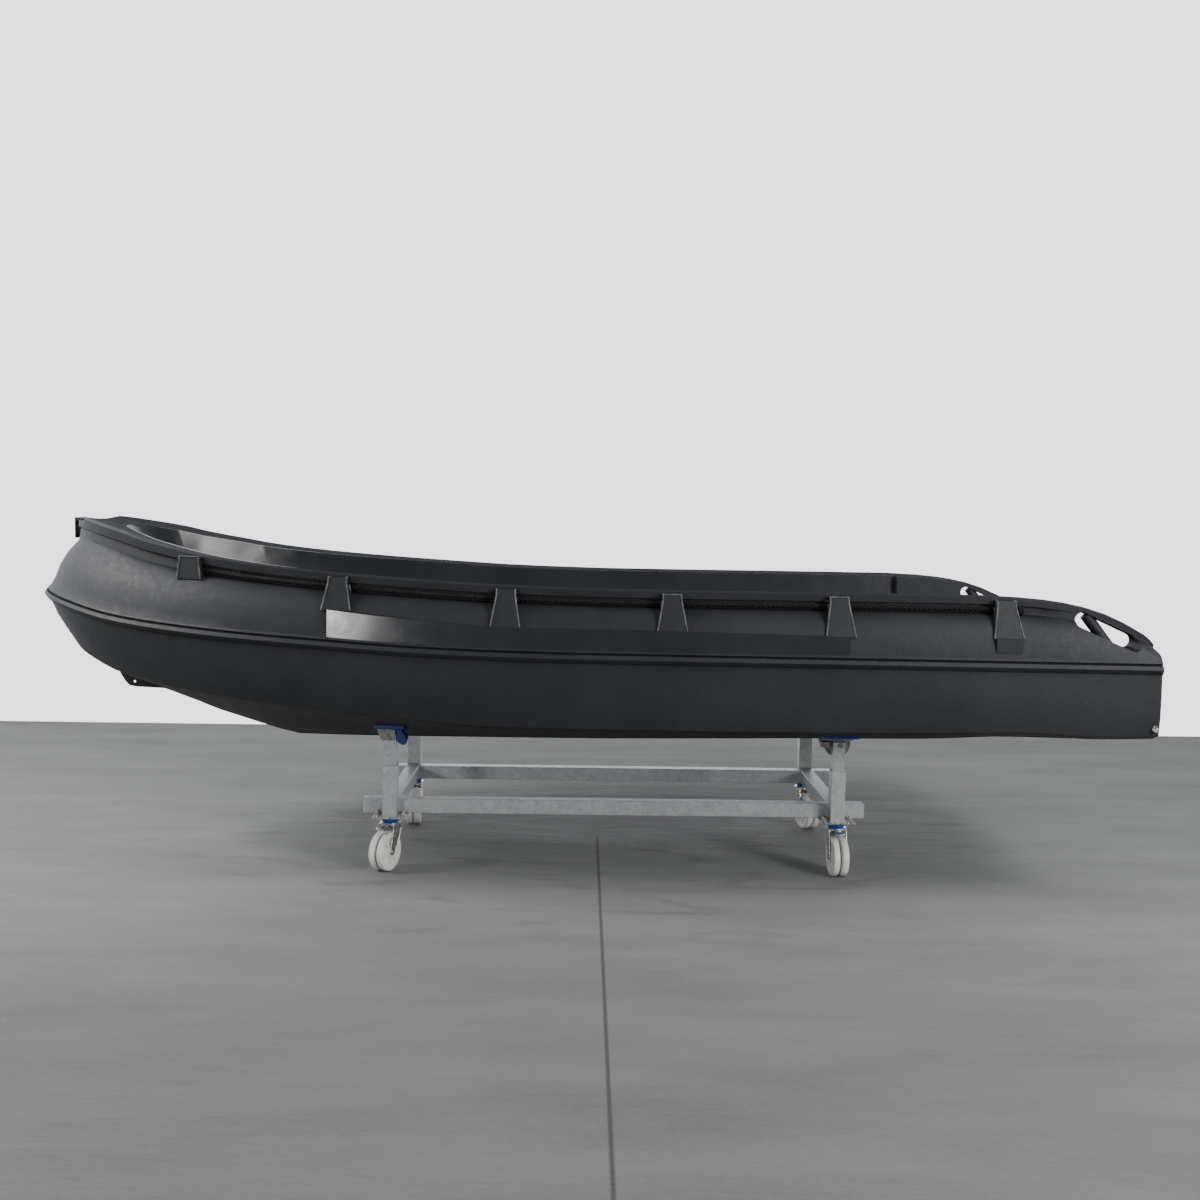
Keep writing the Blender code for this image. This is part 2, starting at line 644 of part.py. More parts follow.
def make_trolley():
    half = BEAM_SIZE / 2
    for side_name, side in SIDES.items():
        y = side * BEAM_Y
        hollow_tube("beam_" + side_name, (BEAM_X[0], y - half, BEAM_Z - half),
                    (BEAM_X[1], y + half, BEAM_Z + half), 0, BEAM_WALL, galvanised())
        for end, x in POST_X.items():
            y = side * POST_Y
            reach = SLEEVE_SIZE / 2
            if side > 0:
                y_low, y_high = BEAM_Y + half + GAP, y + reach
            else:
                y_low, y_high = y - reach, -(BEAM_Y + half + GAP)
            hollow_tube(f"sleeve_{end}_{side_name}", (x - reach, y_low, SLEEVE_Z[0]),
                        (x + reach, y_high, SLEEVE_Z[1]), 2, SLEEVE_WALL, galvanised())
    for end, x in POST_X.items():
        reach = BEAM_Y - half - GAP
        hollow_tube("cross_member_" + end, (x - half, -reach, BEAM_Z - half),
                    (x + half, reach, BEAM_Z + half), 1, BEAM_WALL, galvanised())


# Height of the hull's bottom above a point of the floor
def bottom_at(tree, x, y):
    hit = tree.ray_cast(Vector((x, y, 0.0)), Vector((0.0, 0.0, 1.0)))
    return hit[0].z


# Plate whose upper face follows a tilted plane, given by its height over (dx, dy) from (x, y)
def tilted_plate(name, x, y, reach_x, reach_y, top_of, thick):
    shape = bmesh.new()
    bmesh.ops.create_cube(shape, size=1.0)
    for point in shape.verts:
        dx = reach_x[1] if point.co.x > 0 else reach_x[0]
        dy = reach_y[1] if point.co.y > 0 else reach_y[0]
        drop = 0.0 if point.co.z > 0 else thick
        point.co = Vector((x + dx, y + dy, top_of(dx, dy) - drop))
    return mesh_from(name, shape)


# Plane that touches the hull's bottom over a pad: height at the middle and slopes
def pad_plane(tree, x, y, dx, dy):
    corners = {(i, j): bottom_at(tree, x + i * dx, y + j * dy) for i in (-1, 1) for j in (-1, 1)}
    slope_x = (corners[1, 1] + corners[1, -1] - corners[-1, 1] - corners[-1, -1]) / (4 * dx)
    slope_y = (corners[1, 1] + corners[-1, 1] - corners[1, -1] - corners[-1, -1]) / (4 * dy)
    tests = [(i * dx / PAD_TESTS, j * dy / PAD_TESTS) for i in range(-PAD_TESTS, PAD_TESTS + 1)
             for j in range(-PAD_TESTS, PAD_TESTS + 1)]
    level = min(bottom_at(tree, x + px, y + py) - slope_x * px - slope_y * py for px, py in tests)
    return level - GAP, slope_x, slope_y


def make_pads(hull):
    bpy.context.view_layer.update()
    tree = BVHTree.FromObject(hull, bpy.context.evaluated_depsgraph_get())
    for side_name, side in SIDES.items():
        for end, x in POST_X.items():
            y = side * POST_Y
            dx, dy = PAD_LENGTH[end] / 2, PAD_WIDTH / 2
            level, slope_x, slope_y = pad_plane(tree, x, y, dx, dy)
            name = f"pad_{end}_{side_name}"
            mesh = tilted_plate(name, x, y, (-dx, dx), (-dy, dy),
                                lambda px, py: level + slope_x * px + slope_y * py, PAD_THICK)
            pad = add_mesh(name, mesh, blue_coat())
            under = level - PAD_THICK
            if end == "fore":
                outline = [(x + px, under + pz) for px, pz in PAD_ARM]
                arm = prism_mesh("add_arm_" + name, outline, 1, y - PAD_ARM_HALF, y + PAD_ARM_HALF)
                boolean(pad, cutter("add_arm_" + name, arm), "UNION")
            make_post_and_head(end, side_name, lambda px, py: under - GAP + slope_x * px + slope_y * py)


# Inner post up to just under the tilted head that carries the pad, and the bolt across both
def make_post_and_head(end, side_name, top_of):
    x, y = POST_X[end], SIDES[side_name] * POST_Y
    reach = INNER_SIZE / 2
    cheek_far = reach + GAP + HEAD_THICK
    post_top = min(top_of(i * reach, j * reach) for i in (-1, 1) for j in (-1, 1)) - HEAD_THICK - HEAD_UNDER
    bolt_x, bolt_z = x + BOLT_X[end], post_top - BOLT_DROP
    label = f"{end}_{side_name}"
    post = hollow_tube("inner_post_" + label, (x - reach, y - reach, INNER_BOTTOM_Z),
                       (x + reach, y + reach, post_top), 2, INNER_WALL, galvanised())
    bore = cylinder_mesh("cut_bolt_" + label, BOLT_RADIUS + GAP, (bolt_x, y - 0.1, bolt_z),
                         (bolt_x, y + 0.1, bolt_z))
    boolean(post, cutter("cut_bolt_" + label, bore), "DIFFERENCE")
    name = "pad_bracket_" + label
    plate = tilted_plate(name, x, y, HEAD_REACH[end], (-cheek_far, cheek_far), top_of, HEAD_THICK)
    head = add_mesh(name, plate, zinc())
    inward = -SIDES[side_name]
    ways = (1.0, -1.0) if end == "fore" else (inward,)
    for i, way in enumerate(ways):
        near, far = sorted((way * (reach + GAP), way * cheek_far))
        top = min(top_of(dx, dy) for dx in HEAD_REACH[end] for dy in (near, far)) - HEAD_THICK / 3
        if end == "fore":
            low = bolt_z - CHEEK_DROP
            outline = [(x + CHEEK_TOP[0], top), (x + CHEEK_LOW[0], low), (x + CHEEK_LOW[1], low),
                       (x + CHEEK_TOP[1], top)]
        else:
            arc = [math.pi + math.pi * k / 16 for k in range(17)]
            outline = [(x - DISC_RADIUS, top)]
            outline += [(x + DISC_RADIUS * math.cos(a), bolt_z + DISC_RADIUS * math.sin(a)) for a in arc]
            outline += [(x + DISC_RADIUS, top)]
        piece = prism_mesh(f"add_cheek_{i + 1}_{label}", outline, 1, y + near, y + far)
        boolean(head, cutter(f"add_cheek_{i + 1}_{label}", piece), "UNION")
    if end == "aft":
        top = min(top_of(dx, dy) for dx in LIP[:2] for dy in (-cheek_far, cheek_far)) - HEAD_THICK / 3
        lip = box_mesh("add_lip_" + label, (x + LIP[0], y - cheek_far, top - LIP[2]),
                       (x + LIP[1], y + cheek_far, top))
        boolean(head, cutter("add_lip_" + label, lip), "UNION")
    radius, thick = BOLT_HEAD
    rests = {way: cheek_far if way in ways else reach + GAP for way in (1.0, -1.0)}
    bolt = cylinder_mesh("add_bolt_" + label, BOLT_RADIUS, (bolt_x, y - rests[-1.0] - 0.001, bolt_z),
                         (bolt_x, y + rests[1.0] + 0.001, bolt_z))
    boolean(head, cutter("add_bolt_" + label, bolt), "UNION")
    for way, rest in rests.items():
        name = f"add_bolt_head_{'out' if way > 0 else 'in'}_{label}"
        start = rest - (0.001 if way in ways else 0.0)
        knob = cylinder_mesh(name, radius, (bolt_x, y + way * start, bolt_z),
                             (bolt_x, y + way * (rest + thick), bolt_z), 6)
        boolean(head, cutter(name, knob), "UNION")


def turned(name, profile, segments, look):
    shape = bmesh.new()
    points = [shape.verts.new((r, 0.0, z)) for r, z in profile]
    for i in range(len(points)):
        shape.edges.new((points[i], points[(i + 1) % len(points)]))
    mesh = bpy.data.meshes.new(name)
    shape.to_mesh(mesh)
    shape.free()
    made = add_mesh(name, mesh, look)
    step = made.modifiers.new("turn", "SCREW")
    step.steps = segments
    step.render_steps = segments
    step.use_merge_vertices = True
    step.merge_threshold = 0.0001
    step.use_smooth_shade = True
    return made


def wheel_profile():
    width, gap, bore = WHEEL_WIDTH, WHEEL_GAP / 2, AXLE_RADIUS + 0.0004
    end = gap + width
    r, round_over = WHEEL_RADIUS, 0.006
    return [(r - round_over, end), (r, end - round_over), (r, gap + round_over), (r - round_over, gap),
            (HUB_RADIUS, gap), (HUB_RADIUS, -gap), (r - round_over, -gap), (r, -gap - round_over),
            (r, -end + round_over), (r - round_over, -end), (HUB_RADIUS + 0.03, -end),
            (HUB_RADIUS + 0.025, -end + 0.007), (HUB_RADIUS, -end + 0.007), (HUB_RADIUS - 0.004, -end),
            (bore, -end), (bore, end), (HUB_RADIUS - 0.004, end), (HUB_RADIUS, end - 0.007),
            (HUB_RADIUS + 0.025, end - 0.007), (HUB_RADIUS + 0.03, end)]


# Caster built at its own origin, swivel axis along Z, wheel trailing to +Y
def make_caster(end, side_name):
    x, y = POST_X[end], SIDES[side_name] * POST_Y
    turn = math.radians(SWIVEL_DEG[end, side_name])
    label = f"{end}_{side_name}"
    long_x, long_y, thick = PLATE_SIZE
    plate = box_mesh("caster_plate_" + label, (x - long_x / 2, y - long_y / 2, PLATE_TOP_Z - thick),
                     (x + long_x / 2, y + long_y / 2, PLATE_TOP_Z))
    add_mesh("caster_plate_" + label, plate, zinc())
    swivel = bpy.data.objects.new("swivel_" + label, None)
    swivel.location = (x, y, 0.0)
    swivel.rotation_euler = (0.0, 0.0, turn)
    PART.objects.link(swivel)
    ring = cylinder_mesh("swivel_ring_" + label, RING_RADIUS, (0, 0, RING_Z[0]), (0, 0, RING_Z[1]), 32)
    add_mesh("swivel_ring_" + label, ring, blue_coat()).parent = swivel
    crown = cylinder_mesh("fork_" + label, 0.042, (0, 0, FORK_TOP_Z - FORK_CROWN), (0, 0, FORK_TOP_Z), 32)
    fork = add_mesh("fork_" + label, crown, zinc())
    fork.parent = swivel
    inner = WHEEL_GAP / 2 + WHEEL_WIDTH + 0.0015
    for i, way in ((1, -1.0), (2, 1.0)):
        near, far = sorted((way * inner, way * (inner + LEG_THICK)))
        outline = [(-0.030, FORK_TOP_Z - 0.002), (0.034, FORK_TOP_Z - 0.002),
                   (CASTER_TRAIL + 0.016, 0.085), (CASTER_TRAIL + 0.010, 0.066),
                   (CASTER_TRAIL - 0.010, 0.066), (CASTER_TRAIL - 0.018, 0.085),
                   (-0.030, FORK_TOP_Z - 0.035)]
        name = f"add_leg_{i}_{label}"
        leg = cutter(name, prism_mesh(name, outline, 0, near, far))
        leg.parent = swivel
        boolean(fork, leg, "UNION")
    reach = inner + LEG_THICK + 0.005
    name = "add_axle_" + label
    axle = cutter(name, cylinder_mesh(name, AXLE_RADIUS, (-reach, CASTER_TRAIL, WHEEL_RADIUS),
                                      (reach, CASTER_TRAIL, WHEEL_RADIUS), 16))
    axle.parent = swivel
    boolean(fork, axle, "UNION")
    name = "add_pedal_" + label
    pedal = cutter(name, box_mesh(name, (-0.016, 0.020, 0.176), (0.016, 0.088, 0.1875)))
    pedal.parent = swivel
    boolean(fork, pedal, "UNION")
    wheel = turned("twin_wheel_" + label, wheel_profile(), 36, white_nylon())
    wheel.parent = swivel
    wheel.location = (0.0, CASTER_TRAIL, WHEEL_RADIUS)
    wheel.rotation_euler = (0.0, math.pi / 2, 0.0)


# Ring on a washer, square to the slanted side of the hull
def make_eye_bolt(side_name, side):
    ends = [Vector((EYE_X, side * half_breadth(EYE_X, half, nose), lower_height(EYE_X, share)))
            for _, half, nose, share in LOWER_LINES[:2]]
    foot = ends[0].lerp(ends[1], EYE_SHARE)
    slope = (ends[1] - ends[0]).normalized()
    out = Vector((0.0, side * slope.z, -side * slope.y))
    name = "eye_bolt_" + side_name
    washer_radius, washer_thick = EYE_WASHER
    count = 10
    circle = [(EYE_MAJOR + EYE_MINOR * math.cos(2 * math.pi * i / count),
               EYE_MINOR * math.sin(2 * math.pi * i / count)) for i in range(count)]
    ring = turned(name, circle, 24, zinc())
    ring.location = foot + out * (GAP + washer_thick + EYE_MAJOR + 0.001)
    along = Vector((1.0, 0.0, 0.0))
    ring.rotation_euler = Matrix((out, along.cross(out), along)).transposed().to_euler()
    washer = cylinder_mesh("add_washer_" + name, washer_radius, foot + out * GAP,
                           foot + out * (GAP + washer_thick))
    boolean(ring, cutter("add_washer_" + name, washer), "UNION")


def make_fittings():
    plate = box_mesh("bow_plate", BOW_PLATE[0], BOW_PLATE[1])
    add_mesh("bow_plate", plate, black_plastic())
    board = box_mesh("transom_plate", (-HALF_LENGTH + TRANSOM_THICK + GAP, -0.20, 0.80),
                     (-HALF_LENGTH + TRANSOM_THICK + 0.006, 0.20, 0.962))
    add_mesh("transom_plate", board, aluminium())
    for side_name, side in SIDES.items():
        make_eye_bolt(side_name, side)


def main():
    clear_scene()
    hull = make_hull()
    make_grab_lines()
    make_trolley()
    make_pads(hull)
    for end in POST_X:
        for side_name in SIDES:
            make_caster(end, side_name)
    make_fittings()


main()
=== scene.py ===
import json
import math
import random

import bmesh
import bpy
from mathutils import Matrix, Vector


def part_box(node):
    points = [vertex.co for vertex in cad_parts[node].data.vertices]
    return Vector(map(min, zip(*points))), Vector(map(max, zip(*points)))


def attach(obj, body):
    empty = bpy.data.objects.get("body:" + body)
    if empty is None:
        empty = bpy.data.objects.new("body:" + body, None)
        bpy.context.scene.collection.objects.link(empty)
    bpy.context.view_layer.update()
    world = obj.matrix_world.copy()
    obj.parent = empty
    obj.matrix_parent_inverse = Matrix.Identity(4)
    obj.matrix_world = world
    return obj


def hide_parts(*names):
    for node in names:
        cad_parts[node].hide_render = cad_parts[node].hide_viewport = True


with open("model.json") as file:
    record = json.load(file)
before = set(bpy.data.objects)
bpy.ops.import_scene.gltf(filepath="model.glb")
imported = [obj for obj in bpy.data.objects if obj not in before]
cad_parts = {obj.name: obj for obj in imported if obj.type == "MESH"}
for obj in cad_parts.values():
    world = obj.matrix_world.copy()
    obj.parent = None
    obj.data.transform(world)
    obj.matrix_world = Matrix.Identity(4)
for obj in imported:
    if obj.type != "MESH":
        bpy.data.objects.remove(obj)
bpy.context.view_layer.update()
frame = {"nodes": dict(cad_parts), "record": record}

NODES = frame["nodes"]
ROOT = "boat_and_trolley"
SIDES = {"port": 1.0, "starboard": -1.0}
ENDS = ("fore", "aft")

# Camera of the photograph
CAMERA_PLACE = (-0.06500, 5.95579, 1.53529)
CAMERA_YAW = 0.84177
CAMERA_PITCH = 4.17935
CAMERA_ROLL = 0.89777
CAMERA_LENS = 40.51

# Casters: middle of the swivel and how far it is turned, in degrees
CASTERS = {"fore_port": (0.711, 0.410, -23.0), "fore_starboard": (0.711, -0.410, 4.0),
           "aft_port": (-1.147, 0.410, 3.0), "aft_starboard": (-1.147, -0.410, 17.0)}
CASTER_TRAIL = 0.042
WHEEL_RADIUS = 0.080
# Legs of the forks: inner face from the middle of the caster, and thickness
LEG_INNER = 0.0335
LEG_THICK = 0.004

# Upper and lower edge of the smooth side panel as (x, z), its aft and fore end, and how far
# out from the middle it lies at least
PANEL_TOP = [(-1.085, 1.040), (-0.20, 1.054), (0.15, 1.056), (0.50, 1.077), (0.89, 1.113)]
PANEL_LOW = [(-1.085, 0.9705), (0.00, 0.977), (0.50, 0.989), (0.89, 1.0095)]
PANEL_ENDS = (-1.085, 0.890)
PANEL_LEAST_Y = 0.80

# Plan of the cockpit's inside walls at their top: half width, fore and aft end, and the powers
# of the curve that closes it toward the bow
COCKPIT_HALF = 0.687
COCKPIT_NOSE = 1.934
COCKPIT_AFT = -1.612
COCKPIT_POWERS = (3.0, 1.0 / 1.6)

# Grab line brackets on each side: middle, half of the width at the foot and foot height. The
# roll on their edges, lighter as a painted highlight with some wear, has the radius BRACKET_RIM
# and stays on the faces that stand out, which lean by less than BRACKET_FACE_LEAN
BRACKETS = [(1.466, 0.050, 1.208), (0.860, 0.056, 1.108), (0.217, 0.056, 1.056),
            (-0.415, 0.056, 1.050), (-1.052, 0.056, 1.038), (-1.690, 0.056, 1.041)]
BRACKET_RIM = 0.0030
BRACKET_FACE_LEAN = 0.085

# Laid rope of the grab lines and of their knots, and the length of one turn of a strand
ROPE_RADIUS = 0.0102
KNOT_ROPE_RADIUS = 0.0085
ROPE_STRAND_TURN = 0.058
# The CAD rope's rings of corners each lie within this length of x
ROPE_RING_REACH = 0.030

# Corners of a CAD mesh that lie closer than this are one
JOINED_WITHIN = 0.00003
# Edges sharper than these angles are rounded, on the hull with the radius HULL_EASE
HULL_EASE_DEG = 34.0
HULL_EASE = 0.0028
COPY_EASE_DEG = 30.0
# Edges sharper than these angles stay sharp in the shading
HULL_SMOOTH_DEG = 30.0
EASED_SHARP_DEG = 50.0
# Small round things: sides of a tube, radius of a weld bead and thickness of a bolt's washer
TUBE_SIDES = 8
WELD_RADIUS = 0.0024
WASHER = 0.0018

# Floor: its corners, and where the cloth's seam lies and ends, as (x, y)
FLOOR_LOW = (-9.0, -3.10, 0.0)
FLOOR_HIGH = (9.0, 10.9, 0.0)
FLOOR_SEAM = (-0.158, -0.25)
# Strength of the lit backdrop and of the dim room round it, and the parts of the sky's
# direction over which one passes into the other: behind the boat, and up to a height
BACKDROP_STRENGTH = 2.5
ROOM_STRENGTH = 0.26
BACKDROP_EDGES = (("Y", (-0.15, -0.60)), ("Z", (0.72, 0.42)))
# Lamps: name, place, what it points at, its size in metres and its power in watts
LIGHTS = (("bow_side", (5.6, 0.9, 4.0), (1.7, 0.4, 1.1), (2.4, 2.4), 480.0),
          ("stern_side", (-4.3, 2.7, 4.3), (-1.0, 0.3, 0.9), (2.0, 2.0), 205.0),
          ("stern_front", (-5.2, 5.3, 2.4), (-0.6, 0.5, 0.6), (1.7, 1.7), 310.0),
          ("bow_front", (3.12, 6.30, 1.26), (0.8, 0.9, 1.05), (0.65, 0.45), 72.0))


def make_camera():
    """The photograph's camera: it looks along -Y, turned by its yaw, pitch and roll."""
    data = bpy.data.cameras.new("camera")
    data.lens = CAMERA_LENS
    data.sensor_width = 36.0
    made = bpy.data.objects.new("camera", data)
    bpy.context.scene.collection.objects.link(made)
    forward, right, up = Vector((0, -1, 0)), Vector((-1, 0, 0)), Vector((0, 0, 1))
    yaw, pitch, roll = (math.radians(v) for v in (CAMERA_YAW, CAMERA_PITCH, CAMERA_ROLL))
    f1 = math.cos(yaw) * forward + math.sin(yaw) * right
    r1 = math.cos(yaw) * right - math.sin(yaw) * forward
    f2 = math.cos(pitch) * f1 - math.sin(pitch) * up
    u2 = math.cos(pitch) * up + math.sin(pitch) * f1
    r3 = math.cos(roll) * r1 + math.sin(roll) * u2
    u3 = math.cos(roll) * u2 - math.sin(roll) * r1
    turned = Matrix((r3, u3, -f2)).transposed().to_4x4()
    made.matrix_world = Matrix.Translation(CAMERA_PLACE) @ turned
    bpy.context.scene.camera = made


# Materials

class Look:
    """A material's nodes, with short calls for those that the looks need."""

    def __init__(self, name, colour, roughness, metallic=0.0):
        self.material = bpy.data.materials.new(name)
        self.material.use_nodes = True
        self.tree = self.material.node_tree
        self.shader = self.tree.nodes["Principled BSDF"]
        self.shader.inputs["Base Color"].default_value = (*colour, 1.0)
        self.shader.inputs["Roughness"].default_value = roughness
        self.shader.inputs["Metallic"].default_value = metallic
        self.space = self.tree.nodes.new("ShaderNodeTexCoord").outputs["Object"]

    def node(self, kind, **settings):
        made = self.tree.nodes.new(kind)
        for key, value in settings.items():
            setattr(made, key, value)
        return made

    def link(self, source, target):
        self.tree.links.new(source, target)

    def stretched(self, scale):
        made = self.node("ShaderNodeMapping")
        made.inputs["Scale"].default_value = scale
        self.link(self.space, made.inputs["Vector"])
        return made.outputs["Vector"]

    def noise(self, scale, detail=3.0, rough=0.5, vector=None):
        made = self.node("ShaderNodeTexNoise")
        made.inputs["Scale"].default_value = scale
        made.inputs["Detail"].default_value = detail
        made.inputs["Roughness"].default_value = rough
        self.link(vector or self.space, made.inputs["Vector"])
        return made.outputs["Fac"]

    def cells(self, scale, output="Distance"):
        made = self.node("ShaderNodeTexVoronoi")
        made.inputs["Scale"].default_value = scale
        self.link(self.space, made.inputs["Vector"])
        return made.outputs[output]

    def ramp(self, factor, stops):
        made = self.node("ShaderNodeValToRGB")
        elements = made.color_ramp.elements
        while len(elements) < len(stops):
            elements.new(0.5)
        for element, (place, tone) in zip(elements, stops):
            element.position = place
            element.color = (*tone, 1.0) if isinstance(tone, tuple) else (tone, tone, tone, 1.0)
        self.link(factor, made.inputs["Fac"])
        return made.outputs["Color"]

    def mix(self, factor, first, second):
        made = self.node("ShaderNodeMix", data_type="RGBA")
        for socket, value in ((made.inputs["Factor"], factor), (made.inputs["A"], first),
                              (made.inputs["B"], second)):
            self.feed(socket, value)
        return made.outputs["Result"]

    def feed(self, socket, value):
        if isinstance(value, bpy.types.NodeSocket):
            self.link(value, socket)
        elif isinstance(value, tuple):
            socket.default_value = (*value, 1.0)
        else:
            socket.default_value = value

    def maths(self, operation, first, second=None, third=None):
        made = self.node("ShaderNodeMath", operation=operation)
        for i, value in enumerate((first, second, third)):
            if value is not None:
                self.feed(made.inputs[i], value)
        return made.outputs["Value"]

    def smooth_step(self, value, low, high):
        made = self.node("ShaderNodeMapRange", interpolation_type="SMOOTHSTEP")
        self.link(value, made.inputs["Value"])
        made.inputs["From Min"].default_value = low
        made.inputs["From Max"].default_value = high
        return made.outputs["Result"]

    def curve(self, value, points, low, high):
        """Height read from (x, z) points between the x low and high."""
        share = self.maths("DIVIDE", self.maths("SUBTRACT", value, low), high - low)
        made = self.node("ShaderNodeFloatCurve")
        line = made.mapping.curves[0]
        zs = [z for _, z in points]
        bottom, reach = min(zs), max(zs) - min(zs)
        while len(line.points) < len(points):
            line.points.new(0.5, 0.5)
        for point, (x, z) in zip(line.points, points):
            point.location = ((x - low) / (high - low), (z - bottom) / reach)
        made.mapping.update()
        self.link(share, made.inputs["Value"])
        return self.maths("MULTIPLY_ADD", made.outputs["Value"], reach, bottom)

    def bump(self, height, distance, strength=1.0, normal=None):
        made = self.node("ShaderNodeBump")
        self.feed(made.inputs["Distance"], distance)
        self.feed(made.inputs["Strength"], strength)
        self.link(height, made.inputs["Height"])
        if normal is not None:
            self.link(normal, made.inputs["Normal"])
        return made.outputs["Normal"]

    def colour_from(self, value):
        self.link(value, self.shader.inputs["Base Color"])

    def roughness_from(self, value):
        self.link(value, self.shader.inputs["Roughness"])

    def normal_from(self, value):
        self.link(value, self.shader.inputs["Normal"])

    def specular_from(self, value):
        self.feed(self.shader.inputs["Specular IOR Level"], value)


def hull_plastic():
    look = Look("hull_plastic", (0.02, 0.021, 0.023), 0.42)
    axes = look.node("ShaderNodeSeparateXYZ")
    look.link(look.space, axes.inputs["Vector"])
    x, y, z = (axes.outputs[i] for i in range(3))
    across = look.maths("ABSOLUTE", y)
    # Smooth where the mould was polished: the side panels and the inside walls
    top = look.curve(x, PANEL_TOP, *PANEL_ENDS)
    low = look.curve(x, PANEL_LOW, *PANEL_ENDS)
    panel = look.maths("GREATER_THAN", x, PANEL_ENDS[0])
    panel = look.maths("MULTIPLY", panel, look.maths("LESS_THAN", x, PANEL_ENDS[1]))
    panel = look.maths("MULTIPLY", panel, look.maths("GREATER_THAN", z, low))
    top = look.maths("SUBTRACT", top, 0.001)
    panel = look.maths("MULTIPLY", panel, look.maths("LESS_THAN", z, top))
    panel = look.maths("MULTIPLY", panel, look.maths("GREATER_THAN", across, PANEL_LEAST_Y))
    bow_share = look.maths("MAXIMUM", look.maths("DIVIDE", x, COCKPIT_NOSE), 0.0)
    plan = look.maths("SUBTRACT", 1.0, look.maths("POWER", bow_share, COCKPIT_POWERS[0]))
    plan = look.maths("POWER", look.maths("MAXIMUM", plan, 0.0), COCKPIT_POWERS[1])
    inside = look.maths("LESS_THAN", across, look.maths("MULTIPLY", plan, COCKPIT_HALF))
    lowest = look.maths("MAXIMUM", look.maths("MULTIPLY_ADD", x, 0.42, 0.35), 0.78)
    inside = look.maths("MULTIPLY", inside, look.maths("GREATER_THAN", z, lowest))
    inside = look.maths("MULTIPLY", inside, look.maths("GREATER_THAN", x, COCKPIT_AFT))
    polished = look.maths("MAXIMUM", panel, inside)
    # Black plastic with drawn-out scuffs and a little dusty where it faces up; the faces that look
    # up are also darkened as painted shade
    grain = look.noise(330.0, 3.0, 0.6)
    pits = look.cells(210.0)
    tone = look.ramp(look.noise(4.0, 5.0, 0.6),
                     [(0.30, (0.0128, 0.0137, 0.0158)), (0.72, (0.0190, 0.0204, 0.0233))])
    scuffs = look.ramp(look.noise(6.0, 6.0, 0.75, look.stretched((2.5, 14.0, 30.0))),
                       [(0.58, 0.0), (0.80, 1.0)])
    tone = look.mix(look.maths("MULTIPLY", scuffs, 0.18), tone, (0.030, 0.031, 0.032))
    normal = look.node("ShaderNodeNewGeometry").outputs["Normal"]
    facing = look.node("ShaderNodeSeparateXYZ")
    look.link(normal, facing.inputs["Vector"])
    upward = look.smooth_step(facing.outputs["Z"], 0.70, 1.0)
    specks = look.ramp(look.noise(14.0, 6.0, 0.7), [(0.40, 0.0), (0.75, 0.22)])
    dust = look.maths("MULTIPLY", upward, specks)
    # Painted shade: the faces that look up are darkened toward black
    tone = look.mix(look.maths("MULTIPLY", upward, 0.45), tone, (0.003, 0.003, 0.0035))
    look.colour_from(look.mix(dust, tone, (0.034, 0.0335, 0.032)))
    rough = look.ramp(look.noise(38.0, 5.0, 0.65), [(0.30, 0.52), (0.70, 0.64)])
    gloss = look.ramp(look.noise(9.0, 4.0, 0.6), [(0.30, 0.17), (0.70, 0.26)])
    rough = look.mix(upward, rough, (0.80, 0.80, 0.80))
    look.roughness_from(look.mix(polished, rough, gloss))
    shine = look.maths("MULTIPLY_ADD", upward, -0.21, 0.26)
    look.specular_from(look.maths("MULTIPLY_ADD", polished, 0.22, shine))
    # Grain and pits of the mould, fainter where it is polished
    fine = look.bump(grain, look.maths("MULTIPLY_ADD", polished, -0.00045, 0.00055))
    dimpled = look.bump(pits, look.maths("MULTIPLY_ADD", polished, -0.00028, 0.00032), 1.0, fine)
    wavy = look.maths("MULTIPLY_ADD", polished, -0.0042, 0.0050)
    look.normal_from(look.bump(look.noise(5.5, 2.0, 0.4), wavy, 0.55, dimpled))
    return look.material


# Lighter plastic on the rounded hard edges: a painted highlight, with some wear
def edge_highlight_and_wear():
    look = Look("hull_worn_edge", (0.06, 0.062, 0.065), 0.45)
    look.colour_from(look.ramp(look.noise(26.0, 6.0, 0.7),
                               [(0.34, (0.030, 0.032, 0.035)), (0.64, (0.130, 0.134, 0.140))]))
    look.specular_from(0.18)
    look.roughness_from(look.ramp(look.noise(60.0, 4.0), [(0.3, 0.50), (0.7, 0.66)]))
    look.normal_from(look.bump(look.noise(300.0, 3.0), 0.0003, 0.6))
    return look.material


def galvanised():
    look = Look("galvanised", (0.45, 0.46, 0.47), 0.42, 0.72)
    spangle = look.cells(70.0, "Color")
    grey = look.node("ShaderNodeRGBToBW")
    look.link(spangle, grey.inputs["Color"])
    tone = look.ramp(grey.outputs["Val"],
                     [(0.15, (0.385, 0.400, 0.410)), (0.85, (0.475, 0.490, 0.500))])
    stain = look.ramp(look.noise(16.0, 7.0, 0.75), [(0.44, 0.0), (0.74, 1.0)])
    tone = look.mix(look.maths("MULTIPLY", stain, 0.55), tone, (0.56, 0.57, 0.57))
    dark = look.ramp(look.noise(42.0, 6.0, 0.7), [(0.58, 0.0), (0.76, 1.0)])
    look.colour_from(look.mix(look.maths("MULTIPLY", dark, 0.4), tone, (0.26, 0.27, 0.27)))
    look.roughness_from(look.ramp(look.noise(50.0, 4.0, 0.6), [(0.3, 0.38), (0.7, 0.62)]))
    fine = look.bump(look.noise(380.0, 3.0), 0.0003, 0.7)
    look.normal_from(look.bump(look.noise(45.0, 4.0, 0.6), 0.0012, 0.6, fine))
    return look.material


